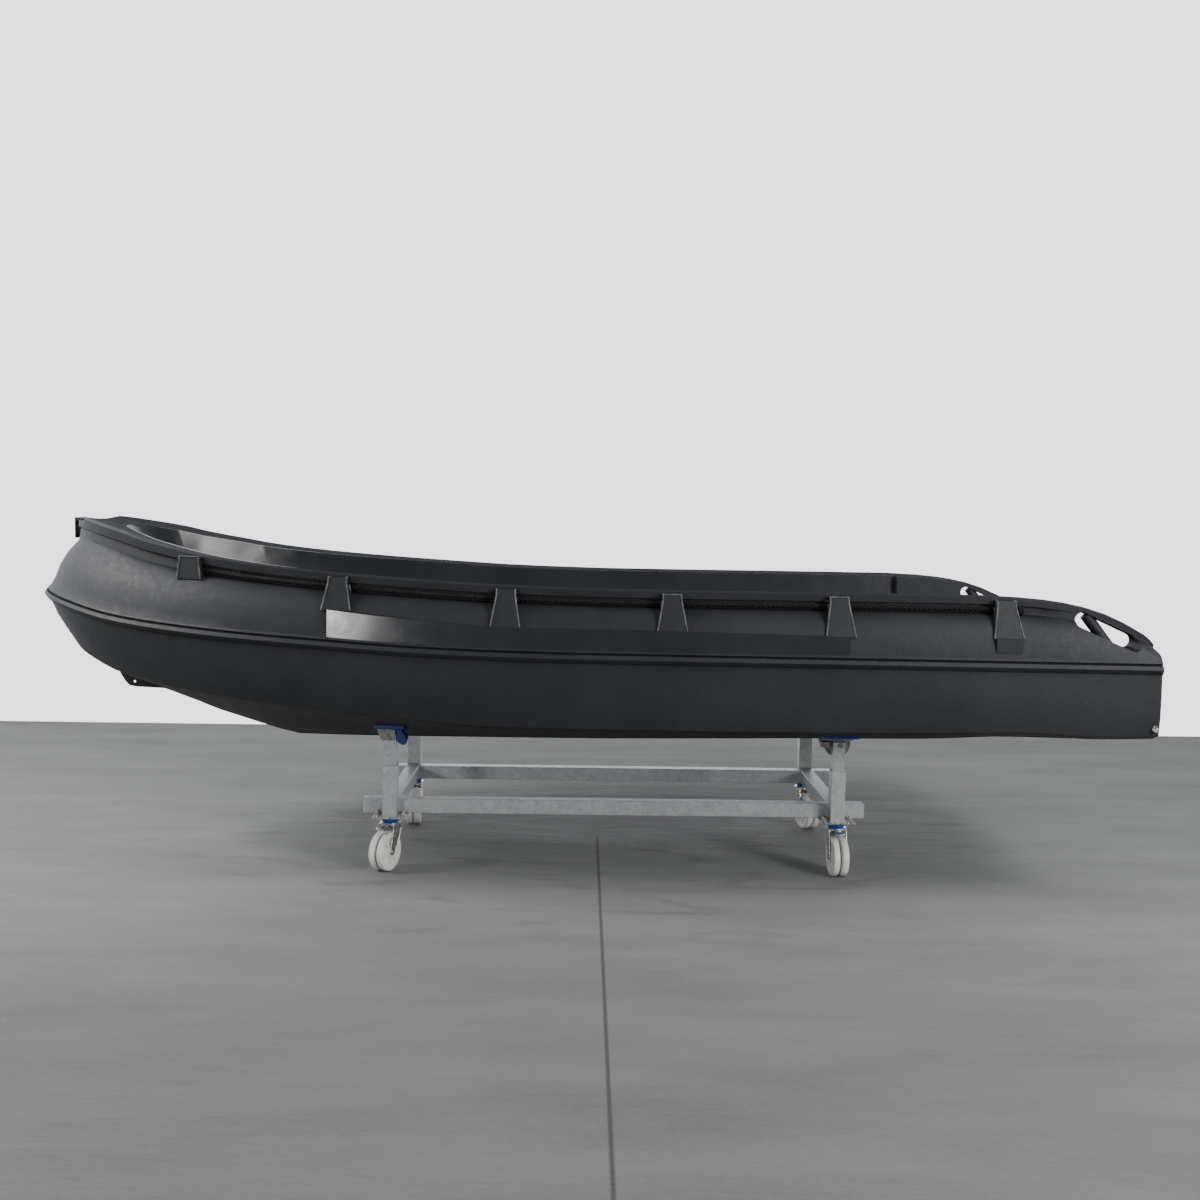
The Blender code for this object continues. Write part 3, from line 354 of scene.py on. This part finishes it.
def zinc():
    look = Look("zinc", (0.72, 0.71, 0.67), 0.25, 1.0)
    look.colour_from(look.ramp(look.noise(60.0, 5.0, 0.7),
                               [(0.28, (0.52, 0.51, 0.47)), (0.70, (0.82, 0.81, 0.78))]))
    look.roughness_from(look.ramp(look.noise(120.0, 4.0, 0.6), [(0.3, 0.18), (0.7, 0.40)]))
    look.normal_from(look.bump(look.noise(500.0, 2.0), 0.00015, 0.6))
    return look.material


def bracket_steel():
    look = Look("bracket_steel", (0.30, 0.31, 0.31), 0.38, 0.9)
    look.colour_from(look.ramp(look.noise(55.0, 6.0, 0.7),
                               [(0.30, (0.12, 0.124, 0.128)), (0.72, (0.33, 0.33, 0.32))]))
    look.roughness_from(look.ramp(look.noise(90.0, 4.0), [(0.3, 0.28), (0.7, 0.52)]))
    look.normal_from(look.bump(look.noise(420.0, 3.0), 0.0002, 0.7))
    return look.material


def pad_blue():
    look = Look("pad_blue", (0.012, 0.030, 0.30), 0.42)
    look.colour_from(look.ramp(look.noise(30.0, 6.0, 0.7),
                               [(0.30, (0.006, 0.013, 0.13)), (0.74, (0.014, 0.034, 0.28))]))
    look.roughness_from(look.ramp(look.noise(70.0, 5.0, 0.7), [(0.3, 0.30), (0.7, 0.55)]))
    look.normal_from(look.bump(look.noise(300.0, 3.0), 0.0004, 0.6))
    return look.material


def ring_blue():
    look = Look("ring_blue", (0.010, 0.075, 0.42), 0.25)
    look.shader.inputs["Coat Weight"].default_value = 0.3
    look.colour_from(look.ramp(look.noise(90.0, 4.0, 0.6),
                               [(0.30, (0.006, 0.045, 0.30)), (0.72, (0.020, 0.12, 0.55))]))
    look.normal_from(look.bump(look.noise(600.0, 2.0), 0.0001, 0.5))
    return look.material


def nylon():
    look = Look("nylon", (0.80, 0.79, 0.75), 0.42)
    dirt = look.ramp(look.noise(48.0, 7.0, 0.78), [(0.50, 0.0), (0.78, 1.0)])
    clean = look.ramp(look.noise(18.0, 4.0), [(0.3, (0.70, 0.69, 0.65)), (0.7, (0.84, 0.83, 0.80))])
    look.colour_from(look.mix(look.maths("MULTIPLY", dirt, 0.5), clean, (0.33, 0.31, 0.27)))
    look.roughness_from(look.ramp(look.noise(85.0, 4.0), [(0.3, 0.36), (0.7, 0.58)]))
    look.shader.inputs["Subsurface Weight"].default_value = 0.08
    look.shader.inputs["Subsurface Radius"].default_value = (0.004, 0.004, 0.003)
    look.normal_from(look.bump(look.noise(260.0, 4.0, 0.6), 0.0004, 0.5))
    return look.material


def rope_black():
    look = Look("rope_black", (0.012, 0.012, 0.013), 0.75)
    tones = [(0.30, (0.0070, 0.0072, 0.0080)), (0.72, (0.0190, 0.0195, 0.0215))]
    look.colour_from(look.ramp(look.noise(160.0, 5.0, 0.7), tones))
    look.specular_from(0.16)
    yarn = look.node("ShaderNodeTexWave", bands_direction="DIAGONAL")
    yarn.inputs["Scale"].default_value = 420.0
    yarn.inputs["Distortion"].default_value = 3.0
    look.link(look.space, yarn.inputs["Vector"])
    look.normal_from(look.bump(yarn.outputs["Fac"], 0.0005, 0.9))
    return look.material


def brushed_plate():
    look = Look("plate_aluminium", (0.68, 0.69, 0.70), 0.33, 1.0)
    streaks = look.noise(30.0, 5.0, 0.7, look.stretched((1.0, 1.0, 22.0)))
    look.colour_from(look.ramp(streaks, [(0.3, (0.55, 0.56, 0.57)), (0.7, (0.76, 0.77, 0.78))]))
    look.roughness_from(look.ramp(streaks, [(0.3, 0.26), (0.7, 0.44)]))
    lines = look.noise(90.0, 4.0, 0.7, look.stretched((1.0, 1.0, 30.0)))
    look.normal_from(look.bump(lines, 0.0001, 0.8))
    return look.material


def floor_cloth():
    look = Look("floor_cloth", (0.16, 0.16, 0.16), 0.9)
    axes = look.node("ShaderNodeSeparateXYZ")
    look.link(look.space, axes.inputs["Vector"])
    x, y = axes.outputs["X"], axes.outputs["Y"]
    folds = look.noise(1.6, 7.0, 0.66, look.stretched((0.55, 2.0, 1.0)))
    tone = look.ramp(folds, [(0.30, (0.135, 0.139, 0.133)), (0.70, (0.195, 0.199, 0.193))])
    fleck = look.ramp(look.noise(46.0, 8.0, 0.82), [(0.40, 0.0), (0.70, 1.0)])
    tone = look.mix(look.maths("MULTIPLY", fleck, 0.30), tone, (0.245, 0.245, 0.240))
    # Painted shade in the creases of the cloth round the trolley
    slow = look.noise(1.5, 2.5, 0.5, look.stretched((0.42, 1.35, 1.0)))
    off = look.maths("ABSOLUTE", look.maths("SUBTRACT", slow, 0.5))
    crease_shade = look.maths("SUBTRACT", 1.0, look.smooth_step(off, 0.0, 0.030))
    broken = look.ramp(look.noise(2.6, 3.0, 0.6), [(0.44, 0.0), (0.60, 1.0)])
    reach = look.maths("POWER", look.maths("MULTIPLY", look.maths("ADD", x, 0.2), 0.45), 2.0)
    reach = look.maths("ADD", reach, look.maths("POWER", look.maths("MULTIPLY", y, 0.62), 2.0))
    near = look.maths("SUBTRACT", 1.0, look.smooth_step(reach, 0.35, 1.1))
    crease_shade = look.maths("MULTIPLY", crease_shade, broken)
    crease_shade = look.maths("MULTIPLY", crease_shade, look.maths("MULTIPLY", near, 0.30))
    tone = look.mix(crease_shade, tone, (0.030, 0.030, 0.028))
    # Seam between two lengths of the cloth
    gap = look.maths("ABSOLUTE", look.maths("SUBTRACT", x, FLOOR_SEAM[0]))
    seam = look.maths("SUBTRACT", 1.0, look.smooth_step(gap, 0.002, 0.009))
    seam = look.maths("MULTIPLY", seam, look.smooth_step(y, FLOOR_SEAM[1], FLOOR_SEAM[1] + 0.25))
    tone = look.mix(look.maths("MULTIPLY", seam, 0.8), tone, (0.040, 0.040, 0.038))
    # Painted shade: darker toward the camera
    dim = look.maths("MULTIPLY", look.smooth_step(y, 0.6, 2.6), 0.22)
    look.colour_from(look.mix(dim, tone, (0.0, 0.0, 0.0)))
    soft = look.bump(folds, 0.05, 0.7)
    look.normal_from(look.bump(look.noise(120.0, 6.0, 0.75), 0.005, 0.7, soft))
    return look.material


# Shapes

def cad_shape(node):
    """A CAD node's mesh with its doubled corners joined."""
    shape = bmesh.new()
    shape.from_mesh(NODES[node].data)
    bmesh.ops.remove_doubles(shape, verts=shape.verts, dist=JOINED_WITHIN)
    return shape


def finish_mesh(name, shape, smooth_deg=35.0):
    """Object of the shape, smooth but for the edges sharper than smooth_deg."""
    mesh = bpy.data.meshes.new(name)
    bmesh.ops.recalc_face_normals(shape, faces=shape.faces)
    shape.to_mesh(mesh)
    shape.free()
    mesh.shade_smooth()
    mesh.set_sharp_from_angle(angle=math.radians(smooth_deg))
    made = bpy.data.objects.new(name, mesh)
    bpy.context.scene.collection.objects.link(made)
    return made


def dress(piece, look, body):
    """Gives a piece its look and slot and the body that it rides on."""
    piece.data.materials.clear()
    piece.data.materials.append(look)
    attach(piece, body)


def applied(piece):
    """The piece with its modifiers in its mesh."""
    depsgraph = bpy.context.evaluated_depsgraph_get()
    mesh = bpy.data.meshes.new_from_object(piece.evaluated_get(depsgraph))
    old = piece.data
    piece.modifiers.clear()
    piece.data = mesh
    bpy.data.meshes.remove(old)
    return piece


def ease_edges(piece, width, segments, angle_deg, edge_slot=-1):
    """Rounds the sharp edges and keeps the flat faces flat in their shading."""
    step = piece.modifiers.new("ease", "BEVEL")
    step.width = width
    step.segments = segments
    step.limit_method = "ANGLE"
    step.angle_limit = math.radians(angle_deg)
    step.use_clamp_overlap = True
    step.material = edge_slot
    bpy.context.view_layer.update()
    applied(piece)
    piece.data.shade_smooth()
    piece.data.set_sharp_from_angle(angle=math.radians(EASED_SHARP_DEG))
    step = piece.modifiers.new("level", "WEIGHTED_NORMAL")
    step.keep_sharp = True
    bpy.context.view_layer.update()
    return applied(piece)


def eased_copy(node, width, segments):
    """A CAD node's shape with its sharp edges rounded."""
    shape = cad_shape(node)
    bmesh.ops.dissolve_limit(shape, angle_limit=math.radians(1.0), verts=shape.verts,
                             edges=shape.edges)
    piece = finish_mesh(node + "_eased", shape, 40.0)
    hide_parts(node)
    return ease_edges(piece, width, segments, COPY_EASE_DEG)


def add_ring(shape, profile, place, segments):
    """Turned solid: profile of (radius, height) points about the local Z axis of place."""
    rows = []
    for i in range(segments):
        angle = 2 * math.pi * i / segments
        rows.append([shape.verts.new(place @ Vector((r * math.cos(angle), r * math.sin(angle), h)))
                     for r, h in profile])
    count = len(profile)
    for i in range(segments):
        now, after = rows[i], rows[(i + 1) % segments]
        for j in range(count):
            k = (j + 1) % count
            shape.faces.new((now[j], now[k], after[k], after[j]))


def add_prism(shape, outline, place, low, high, ease=0.0):
    """Outline of (x, y) points pushed from low to high along the local Z axis, its rims eased."""
    centre = sum((Vector(p) for p in outline), Vector((0.0, 0.0))) / len(outline)
    levels = [(low, 0.0), (high, 0.0)]
    if ease:
        levels = [(low, ease), (low + ease, 0.0), (high - ease, 0.0), (high, ease)]
    rows = []
    for level, inset in levels:
        row = []
        for p in outline:
            point = Vector(p)
            away = point - centre
            point -= away.normalized() * inset if away.length else away
            row.append(shape.verts.new(place @ Vector((point.x, point.y, level))))
        rows.append(row)
    count = len(outline)
    for below, above in zip(rows, rows[1:]):
        for i in range(count):
            k = (i + 1) % count
            shape.faces.new((below[i], below[k], above[k], above[i]))
    shape.faces.new(list(reversed(rows[0])))
    shape.faces.new(rows[-1])


def polygon(radius, count, turn=0.0):
    """Points of an even polygon round the origin."""
    turns = [turn + 2 * math.pi * i / count for i in range(count)]
    return [(radius * math.cos(angle), radius * math.sin(angle)) for angle in turns]


def rounded_box(half_x, half_y, radius, arc=5):
    """Points of a rectangle with round corners about the origin."""
    points = []
    for sx, sy, first in ((1, 1, 0.0), (-1, 1, 0.5), (-1, -1, 1.0), (1, -1, 1.5)):
        for i in range(arc + 1):
            angle = math.pi * (first + 0.5 * i / arc)
            points.append((sx * (half_x - radius) + radius * math.cos(angle),
                           sy * (half_y - radius) + radius * math.sin(angle)))
    return points


def frame_at(origin, axis, across):
    """Matrix whose local Z is axis and local X is as near to across as it can be."""
    z = Vector(axis).normalized()
    x = Vector(across)
    x = (x - z * x.dot(z)).normalized()
    y = z.cross(x)
    return Matrix.Translation(origin) @ Matrix((x, y, z)).transposed().to_4x4()


def add_bolt(shape, origin, axis, across, thread, head, stud=0.0):
    """Hexagon head on a washer, the stud's end standing out above it."""
    place = frame_at(origin, axis, across)
    top = WASHER + head
    add_prism(shape, polygon(thread * 1.05, 24), place, 0.0, WASHER, 0.0004)
    add_prism(shape, polygon(thread * 0.92, 6), place, WASHER, top, 0.0008)
    if stud > 0:
        add_prism(shape, polygon(thread / 2, 16), place, top, top + stud, 0.0008)


def carried_sides(points):
    """At each point two directions across the line, carried along it without twist."""
    last = len(points) - 1
    side, found = None, []
    for i in range(last + 1):
        tangent = (points[min(i + 1, last)] - points[max(i - 1, 0)]).normalized()
        if side is None:
            side = tangent.orthogonal().normalized()
        side = (side - tangent * side.dot(tangent)).normalized()
        found.append((side, tangent.cross(side)))
    return found


def walked_lengths(points):
    """Length along the polyline at each of its points."""
    lengths = [0.0]
    for a, b in zip(points, points[1:]):
        lengths.append(lengths[-1] + (b - a).length)
    return lengths


def smooth_line(points, step):
    """Points at an even spacing along the polyline."""
    lengths = walked_lengths(points)
    count = max(2, int(round(lengths[-1] / step)))
    result, i = [], 0
    for n in range(count + 1):
        target = lengths[-1] * n / count
        while i < len(points) - 2 and lengths[i + 1] < target:
            i += 1
        part = (target - lengths[i]) / max(lengths[i + 1] - lengths[i], 1e-9)
        result.append(points[i].lerp(points[i + 1], part))
    return result


def add_tube(shape, points, radius):
    """Round tube along points, its radius one number or one for each point."""
    rows = []
    for i, (point, (side, other)) in enumerate(zip(points, carried_sides(points))):
        reach = radius[i] if isinstance(radius, list) else radius
        turns = [2 * math.pi * k / TUBE_SIDES for k in range(TUBE_SIDES)]
        rows.append([shape.verts.new(point + reach * (math.cos(a) * side + math.sin(a) * other))
                     for a in turns])
    for now, after in zip(rows, rows[1:]):
        for k in range(TUBE_SIDES):
            n = (k + 1) % TUBE_SIDES
            shape.faces.new((now[k], now[n], after[n], after[k]))
    shape.faces.new(list(reversed(rows[0])))
    shape.faces.new(rows[-1])


def add_weld(shape, start, end, seed):
    """Rippled bead from start to end."""
    chance = random.Random(seed)
    start, end = Vector(start), Vector(end)
    count = max(6, int((end - start).length / 0.0021))
    points = [start.lerp(end, i / count) for i in range(count + 1)]
    reach = [WELD_RADIUS * (0.86 + 0.14 * (i % 2) + chance.uniform(-0.10, 0.10))
             for i in range(count + 1)]
    add_tube(shape, points, reach)


# Boat

def make_hull(look, edge_look):
    """The hull's own shape, welded and shaded smooth, its hard edges rounded and lighter: painted
    highlight with some wear.
    """
    piece = finish_mesh("hull_moulded", cad_shape("hull"), HULL_SMOOTH_DEG)
    piece.data.materials.append(look)
    piece.data.materials.append(edge_look)
    ease_edges(piece, HULL_EASE, 3, HULL_EASE_DEG, 1)
    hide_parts("hull")
    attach(piece, ROOT)


def chained(edges):
    """Rows of linked edges, each as its corners in order."""
    links = {}
    for edge in edges:
        for corner in edge.verts:
            links.setdefault(corner, []).append(edge)
    left, paths = set(edges), []
    for here in [corner for corner, found in links.items() if len(found) == 1]:
        path = [here.co.copy()]
        onward = [edge for edge in links[here] if edge in left]
        while onward:
            left.discard(onward[0])
            here = onward[0].other_vert(here)
            path.append(here.co.copy())
            onward = [edge for edge in links[here] if edge in left]
        if len(path) > 1:
            paths.append(path)
    return paths


def make_bracket_rims(look):
    """Light roll along the outer edges of each bracket, read off the hull: painted highlight with
    some wear.
    """
    hull = cad_shape("hull")
    sharp = [edge for edge in hull.edges if edge.is_manifold and edge.is_convex
             and edge.calc_face_angle() > math.radians(HULL_EASE_DEG)]
    shape = bmesh.new()
    for x, half, foot in BRACKETS:
        for side in SIDES.values():
            # Edges round the bracket that reach up from its foot
            rim = [edge for edge in sharp
                   if all(abs(corner.co.x - x) < half + 0.006 and corner.co.y * side > 0.3
                          and corner.co.z > foot - 0.002 for corner in edge.verts)
                   and max(corner.co.z for corner in edge.verts) > foot + 0.010]
            outmost = max(abs(corner.co.y) for edge in rim for corner in edge.verts)
            least = outmost - BRACKET_FACE_LEAN
            rim = [edge for edge in rim
                   if all(abs(corner.co.y) > least for corner in edge.verts)]
            for path in chained(rim):
                add_tube(shape, smooth_line(path, 0.006), BRACKET_RIM)
    hull.free()
    piece = finish_mesh("bracket_rims", shape, 60.0)
    dress(piece, look, ROOT)


def rope_centre(node):
    """Points along the middle of a grab line, read off its CAD tube, aft to fore."""
    mesh = NODES[node].data
    rows = {}
    for vertex in mesh.vertices:
        rows.setdefault(round(vertex.co.x, 3), []).append(vertex.co.copy())
    groups = []
    for x in sorted(rows):
        if groups and x - groups[-1][0] < ROPE_RING_REACH:
            groups[-1][1].extend(rows[x])
        else:
            groups.append([x, list(rows[x])])
    return [sum(found, Vector()) / len(found) for _, found in groups]


def add_laid_rope(shape, points, radius, turn, strands=3):
    """Strands laid round a line of evenly spaced points."""
    strand_radius = radius * 0.50
    sides, walked = carried_sides(points), walked_lengths(points)
    for n in range(strands):
        line = []
        for point, (side, other), length in zip(points, sides, walked):
            angle = 2 * math.pi * (length / turn + n / strands)
            out = math.cos(angle) * side + math.sin(angle) * other
            line.append(point + (radius - strand_radius) * out)
        add_tube(shape, line, strand_radius)


def make_grab_lines(look):
    up = Vector((0.0, 0.0, 1.0))
    for side_name, side in SIDES.items():
        node = "grab_line_" + side_name
        points = rope_centre(node)
        shape = bmesh.new()
        add_laid_rope(shape, smooth_line(points[1:], 0.0048), ROPE_RADIUS, ROPE_STRAND_TURN)
        # Stopper knot behind the last bracket: two turns round the line
        start = points[1]
        along = (points[2] - points[1]).normalized()
        out = Vector((0.0, side, 0.0))
        knot = []
        for i in range(41):
            angle = 2 * math.pi * 2.0 * i / 40
            coil = 0.0105 * (math.cos(angle) * up + math.sin(angle) * out)
            knot.append(start + along * (-0.016 + 0.020 * i / 40) + coil + out * 0.002)
        add_laid_rope(shape, smooth_line(knot, 0.0045), KNOT_ROPE_RADIUS, ROPE_STRAND_TURN * 0.8)
        piece = finish_mesh(node + "_laid", shape, 180.0)
        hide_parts(node)
        dress(piece, look, ROOT)


# Trolley

def caster_place(label):
    """Matrix of a caster's own frame on the floor: its Y along the trail, its X along the axle."""
    x, y, turn = CASTERS[label]
    return Matrix.Translation((x, y, 0.0)) @ Matrix.Rotation(math.radians(turn), 4, "Z")


# Turns an outline's x to the trail, its y up and its Z along the axle
SIDEWAYS = Matrix(((0.0, 0.0, 1.0, 0.0), (1.0, 0.0, 0.0, 0.0),
                   (0.0, 1.0, 0.0, 0.0), (0.0, 0.0, 0.0, 1.0)))


def arc_points(centre, radius, first_deg, last_deg, count):
    reach = last_deg - first_deg
    turns = [math.radians(first_deg + reach * i / count) for i in range(count + 1)]
    return [(centre[0] + radius * math.cos(a), centre[1] + radius * math.sin(a)) for a in turns]


def make_swivel_ring(label, look):
    shape = bmesh.new()
    profile = [(0.018, 0.1962), (0.0315, 0.1962), (0.0330, 0.1972), (0.0385, 0.2052),
               (0.0442, 0.2088), (0.0454, 0.2104), (0.0454, 0.2138), (0.0444, 0.2154),
               (0.018, 0.2154)]
    add_ring(shape, profile, caster_place(label), 64)
    piece = finish_mesh("swivel_ring_shell_" + label, shape, 28.0)
    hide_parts("swivel_ring_" + label)
    dress(piece, look, "caster_" + label)


def make_fork(label, look, dark_look):
    place = caster_place(label)
    sideways = place @ SIDEWAYS
    shape = bmesh.new()
    # Swivel head with its lower plate, nut and stud
    head = [(0.0065, 0.1955), (0.0065, 0.1872), (0.0300, 0.1872), (0.0385, 0.1884),
            (0.0415, 0.1912), (0.0418, 0.1934), (0.0405, 0.1952), (0.0360, 0.1957)]
    add_ring(shape, head, place, 64)
    shifted = place @ Matrix.Translation((0, 0.002, 0))
    add_prism(shape, rounded_box(0.0374, 0.0325, 0.010), shifted, 0.1850, 0.1905, 0.0012)
    add_prism(shape, polygon(0.0125, 6, 0.3), place, 0.1768, 0.1860, 0.0010)
    add_prism(shape, polygon(0.0055, 20), place, 0.1728, 0.1775, 0.0006)
    # Legs
    trail, axle = CASTER_TRAIL, WHEEL_RADIUS
    outline = [(-0.0300, 0.1895), (-0.0300, 0.1660)]
    outline += arc_points((trail, axle), 0.0160, 205.0, 365.0, 14)
    outline += [(0.0460, 0.1350), (0.0370, 0.1700), (0.0340, 0.1895)]
    for low in (LEG_INNER, -LEG_INNER - LEG_THICK):
        add_prism(shape, outline, sideways, low, low + LEG_THICK, 0.0007)
    # Stiffening lip along each leg's front edge
    for way in (-1.0, 1.0):
        x = way * (LEG_INNER + LEG_THICK / 2)
        edge = [place @ Vector((x, y, z)) for y, z in
                ((-0.0285, 0.1860), (-0.0290, 0.1650), (-0.0060, 0.1220), (0.0275, 0.0750))]
        add_tube(shape, smooth_line(edge, 0.004), 0.0026)
    # Axle with its bolts
    pin = sideways @ Matrix.Translation((trail, axle, 0.0))
    add_prism(shape, polygon(0.0060, 24), pin, -0.0415, 0.0415, 0.0006)
    for way in (-1.0, 1.0):
        centre = place @ Vector((way * (LEG_INNER + LEG_THICK), trail, axle))
        outward = (place.to_3x3() @ Vector((way, 0.0, 0.0))).normalized()
        add_bolt(shape, centre, outward, (0.0, 0.0, 1.0), 0.0105, 0.0040)
    # Brake pedal: bent plate over the wheels and its tread end
    pedal = [(0.014, 0.1815), (0.046, 0.1838), (0.066, 0.1812), (0.0862, 0.1762), (0.0875, 0.1788),
             (0.067, 0.1842), (0.046, 0.1868), (0.014, 0.1845)]
    add_prism(shape, pedal, sideways, -0.0150, 0.0150, 0.0006)
    shifted = place @ Matrix.Translation((0.0, 0.0780, 0.0))
    add_prism(shape, rounded_box(0.0205, 0.0085, 0.006), shifted, 0.1770, 0.1815, 0.0008)
    piece = finish_mesh("fork_pressed_" + label, shape, 32.0)
    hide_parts("fork_" + label)
    dress(piece, look, "caster_" + label)
    # Brake: cross bar, block and two small lugs
    shape = bmesh.new()
    bar = sideways @ Matrix.Translation((0.0400, 0.1728, 0.0))
    add_prism(shape, polygon(0.0058, 24), bar, -0.0330, 0.0330, 0.0006)
    shifted = place @ Matrix.Translation((0.0, 0.0340, 0.0))
    add_prism(shape, rounded_box(0.0240, 0.0110, 0.004), shifted, 0.1700, 0.1805, 0.0015)
    lug = sideways @ Matrix.Translation((0.0240, 0.1790, 0.0))
    for way in (-1.0, 1.0):
        middle = way * 0.0240
        add_prism(shape, polygon(0.0046, 20), lug, middle - 0.0012, middle + 0.0012, 0.0004)
    piece = finish_mesh("brake_block_" + label, shape, 32.0)
    dress(piece, dark_look, "caster_" + label)


def make_wheels(label, look):
    place = caster_place(label) @ Matrix.Translation((0.0, CASTER_TRAIL, WHEEL_RADIUS))
    shape = bmesh.new()
    face = [(0.0066, 0.0052), (0.0720, 0.0052), (0.0762, 0.0060), (0.0788, 0.0082),
            (0.0800, 0.0125), (0.0800, 0.0245), (0.0788, 0.0288), (0.0762, 0.0310),
            (0.0725, 0.0318), (0.0610, 0.0318), (0.0592, 0.0310), (0.0568, 0.0272),
            (0.0545, 0.0252), (0.0300, 0.0252), (0.0272, 0.0262), (0.0252, 0.0300),
            (0.0236, 0.0318), (0.0120, 0.0318), (0.0106, 0.0306), (0.0066, 0.0306)]
    hub = [(0.0066, -0.0056), (0.0236, -0.0056), (0.0236, 0.0056), (0.0066, 0.0056)]
    across = place @ SIDEWAYS
    back = across @ Matrix.Rotation(math.pi, 4, "Y")
    for half in (across, back):
        add_ring(shape, face, half, 72)
        for i in range(8):
            turned = half @ Matrix.Rotation(2 * math.pi * i / 8, 4, "Z")
            rib = turned @ Matrix.Translation((0.0405, 0.0, 0.0))
            add_prism(shape, rounded_box(0.0160, 0.0016, 0.0012, 2), rib, 0.0240, 0.0288, 0.0005)
    add_ring(shape, hub, across, 48)
    piece = finish_mesh("wheels_moulded_" + label, shape, 32.0)
    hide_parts("twin_wheel_" + label)
    dress(piece, look, "wheels_" + label)


def make_plate_bolts(look):
    shape = bmesh.new()
    for x, y, _ in CASTERS.values():
        side = 1.0 if y > 0 else -1.0
        for dx in (-0.055, 0.055):
            for dy in (-0.012, 0.042):
                place = (x + dx, y + side * dy, 0.2221)
                add_bolt(shape, place, (0, 0, 1), (1, dx, 0), 0.0095, 0.0078, 0.0085)
    piece = finish_mesh("caster_bolts", shape, 32.0)
    dress(piece, look, ROOT)


def make_welds(look):
    """Beads where the posts stand on the beams and plates, and at the cross members' ends."""
    shape = bmesh.new()
    seed = 0
    for x, y, _ in CASTERS.values():
        side = 1.0 if y > 0 else -1.0
        seam = side * 0.3802
        lines = [((x + dx, seam, 0.2250), (x + dx, seam, 0.2838)) for dx in (-0.0302, 0.0302)]
        lines += [((x - 0.0300, seam, 0.2842), (x + 0.0300, seam, 0.2842))]
        half, outer = 0.0302, side * 0.4402
        lines += [((x - half, outer, 0.2228), (x + half, outer, 0.2228))]
        lines += [((x + dx, seam, 0.2228), (x + dx, outer, 0.2228)) for dx in (-half, half)]
        for start, end in lines:
            seed += 1
            add_weld(shape, start, end, seed)
    for end in ENDS:
        low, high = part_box("cross_member_" + end)
        for y in (low[1] - 0.0001, high[1] + 0.0001):
            for x in (low[0], high[0]):
                seed += 1
                add_weld(shape, (x, y, low[2] + 0.002), (x, y, high[2] - 0.002), seed)
    piece = finish_mesh("weld_beads", shape, 60.0)
    dress(piece, look, ROOT)


def main():
    make_camera()
    stage_and_light()
    looks = {"hull_plastic": hull_plastic(), "galvanised": galvanised(), "zinc": zinc(),
             "bracket_steel": bracket_steel(), "pad_blue": pad_blue(), "ring_blue": ring_blue(),
             "nylon": nylon(), "rope": rope_black(), "plate_aluminium": brushed_plate()}
    slots = {part["node"]: part["material_slot"] for part in frame["record"]["subparts"]}
    for node, piece in NODES.items():
        piece.data.materials.clear()
        piece.data.materials.append(looks[slots[node]])
    edge_look = edge_highlight_and_wear()
    make_hull(looks["hull_plastic"], edge_look)
    make_bracket_rims(edge_look)
    make_grab_lines(looks["rope"])
    make_welds(looks["galvanised"])
    make_plate_bolts(looks["zinc"])

    def ease(node, width, segments):
        dress(eased_copy(node, width, segments), looks[slots[node]], ROOT)

    for side_name in SIDES:
        ease("beam_" + side_name, 0.004, 3)
    for end in ENDS:
        ease("cross_member_" + end, 0.004, 3)
    for label in CASTERS:
        ease("sleeve_" + label, 0.004, 3)
        ease("inner_post_" + label, 0.0035, 3)
        ease("pad_" + label, 0.0025, 3)
        ease("pad_bracket_" + label, 0.0012, 2)
        ease("caster_plate_" + label, 0.0015, 2)
        make_swivel_ring(label, looks["ring_blue"])
        make_fork(label, looks["zinc"], looks["bracket_steel"])
        make_wheels(label, looks["nylon"])
    ease("bow_plate", 0.003, 3)
    ease("transom_plate", 0.0012, 2)


def add_sheet(name, low, high, look):
    shape = bmesh.new()
    corners = [(low[0], low[1]), (high[0], low[1]), (high[0], high[1]), (low[0], high[1])]
    shape.faces.new([shape.verts.new((x, y, low[2])) for x, y in corners])
    piece = finish_mesh(name, shape)
    piece.data.materials.append(look)


def stage_and_light():
    """Floor, backdrop and lamps, none of them a part of the object."""
    add_sheet("floor", FLOOR_LOW, FLOOR_HIGH, floor_cloth())
    world = bpy.data.worlds.new("studio")
    world.use_nodes = True
    bpy.context.scene.world = world
    nodes, links = world.node_tree.nodes, world.node_tree.links
    shade = nodes["Background"]
    shade.inputs["Color"].default_value = (0.93, 0.95, 1.0, 1.0)
    way = nodes.new("ShaderNodeSeparateXYZ")
    links.new(nodes.new("ShaderNodeTexCoord").outputs["Generated"], way.inputs["Vector"])
    shares = []
    for output, ends in BACKDROP_EDGES:
        share = nodes.new("ShaderNodeMapRange")
        share.interpolation_type = "SMOOTHSTEP"
        share.inputs["From Min"].default_value, share.inputs["From Max"].default_value = ends
        links.new(way.outputs[output], share.inputs["Value"])
        shares.append(share.outputs["Result"])
    both = nodes.new("ShaderNodeMath")
    both.operation = "MULTIPLY"
    links.new(shares[0], both.inputs[0])
    links.new(shares[1], both.inputs[1])
    level = nodes.new("ShaderNodeMapRange")
    level.inputs["To Min"].default_value = ROOM_STRENGTH
    level.inputs["To Max"].default_value = BACKDROP_STRENGTH
    links.new(both.outputs["Value"], level.inputs["Value"])
    links.new(level.outputs["Result"], shade.inputs["Strength"])
    for name, place, aim, size, power in LIGHTS:
        data = bpy.data.lights.new(name, "AREA")
        data.shape = "RECTANGLE"
        data.size, data.size_y = size
        data.energy = power
        lamp = bpy.data.objects.new(name, data)
        bpy.context.scene.collection.objects.link(lamp)
        lamp.location = place
        lamp.rotation_euler = (Vector(aim) - Vector(place)).to_track_quat("-Z", "Y").to_euler()


main()
bpy.context.view_layer.update()
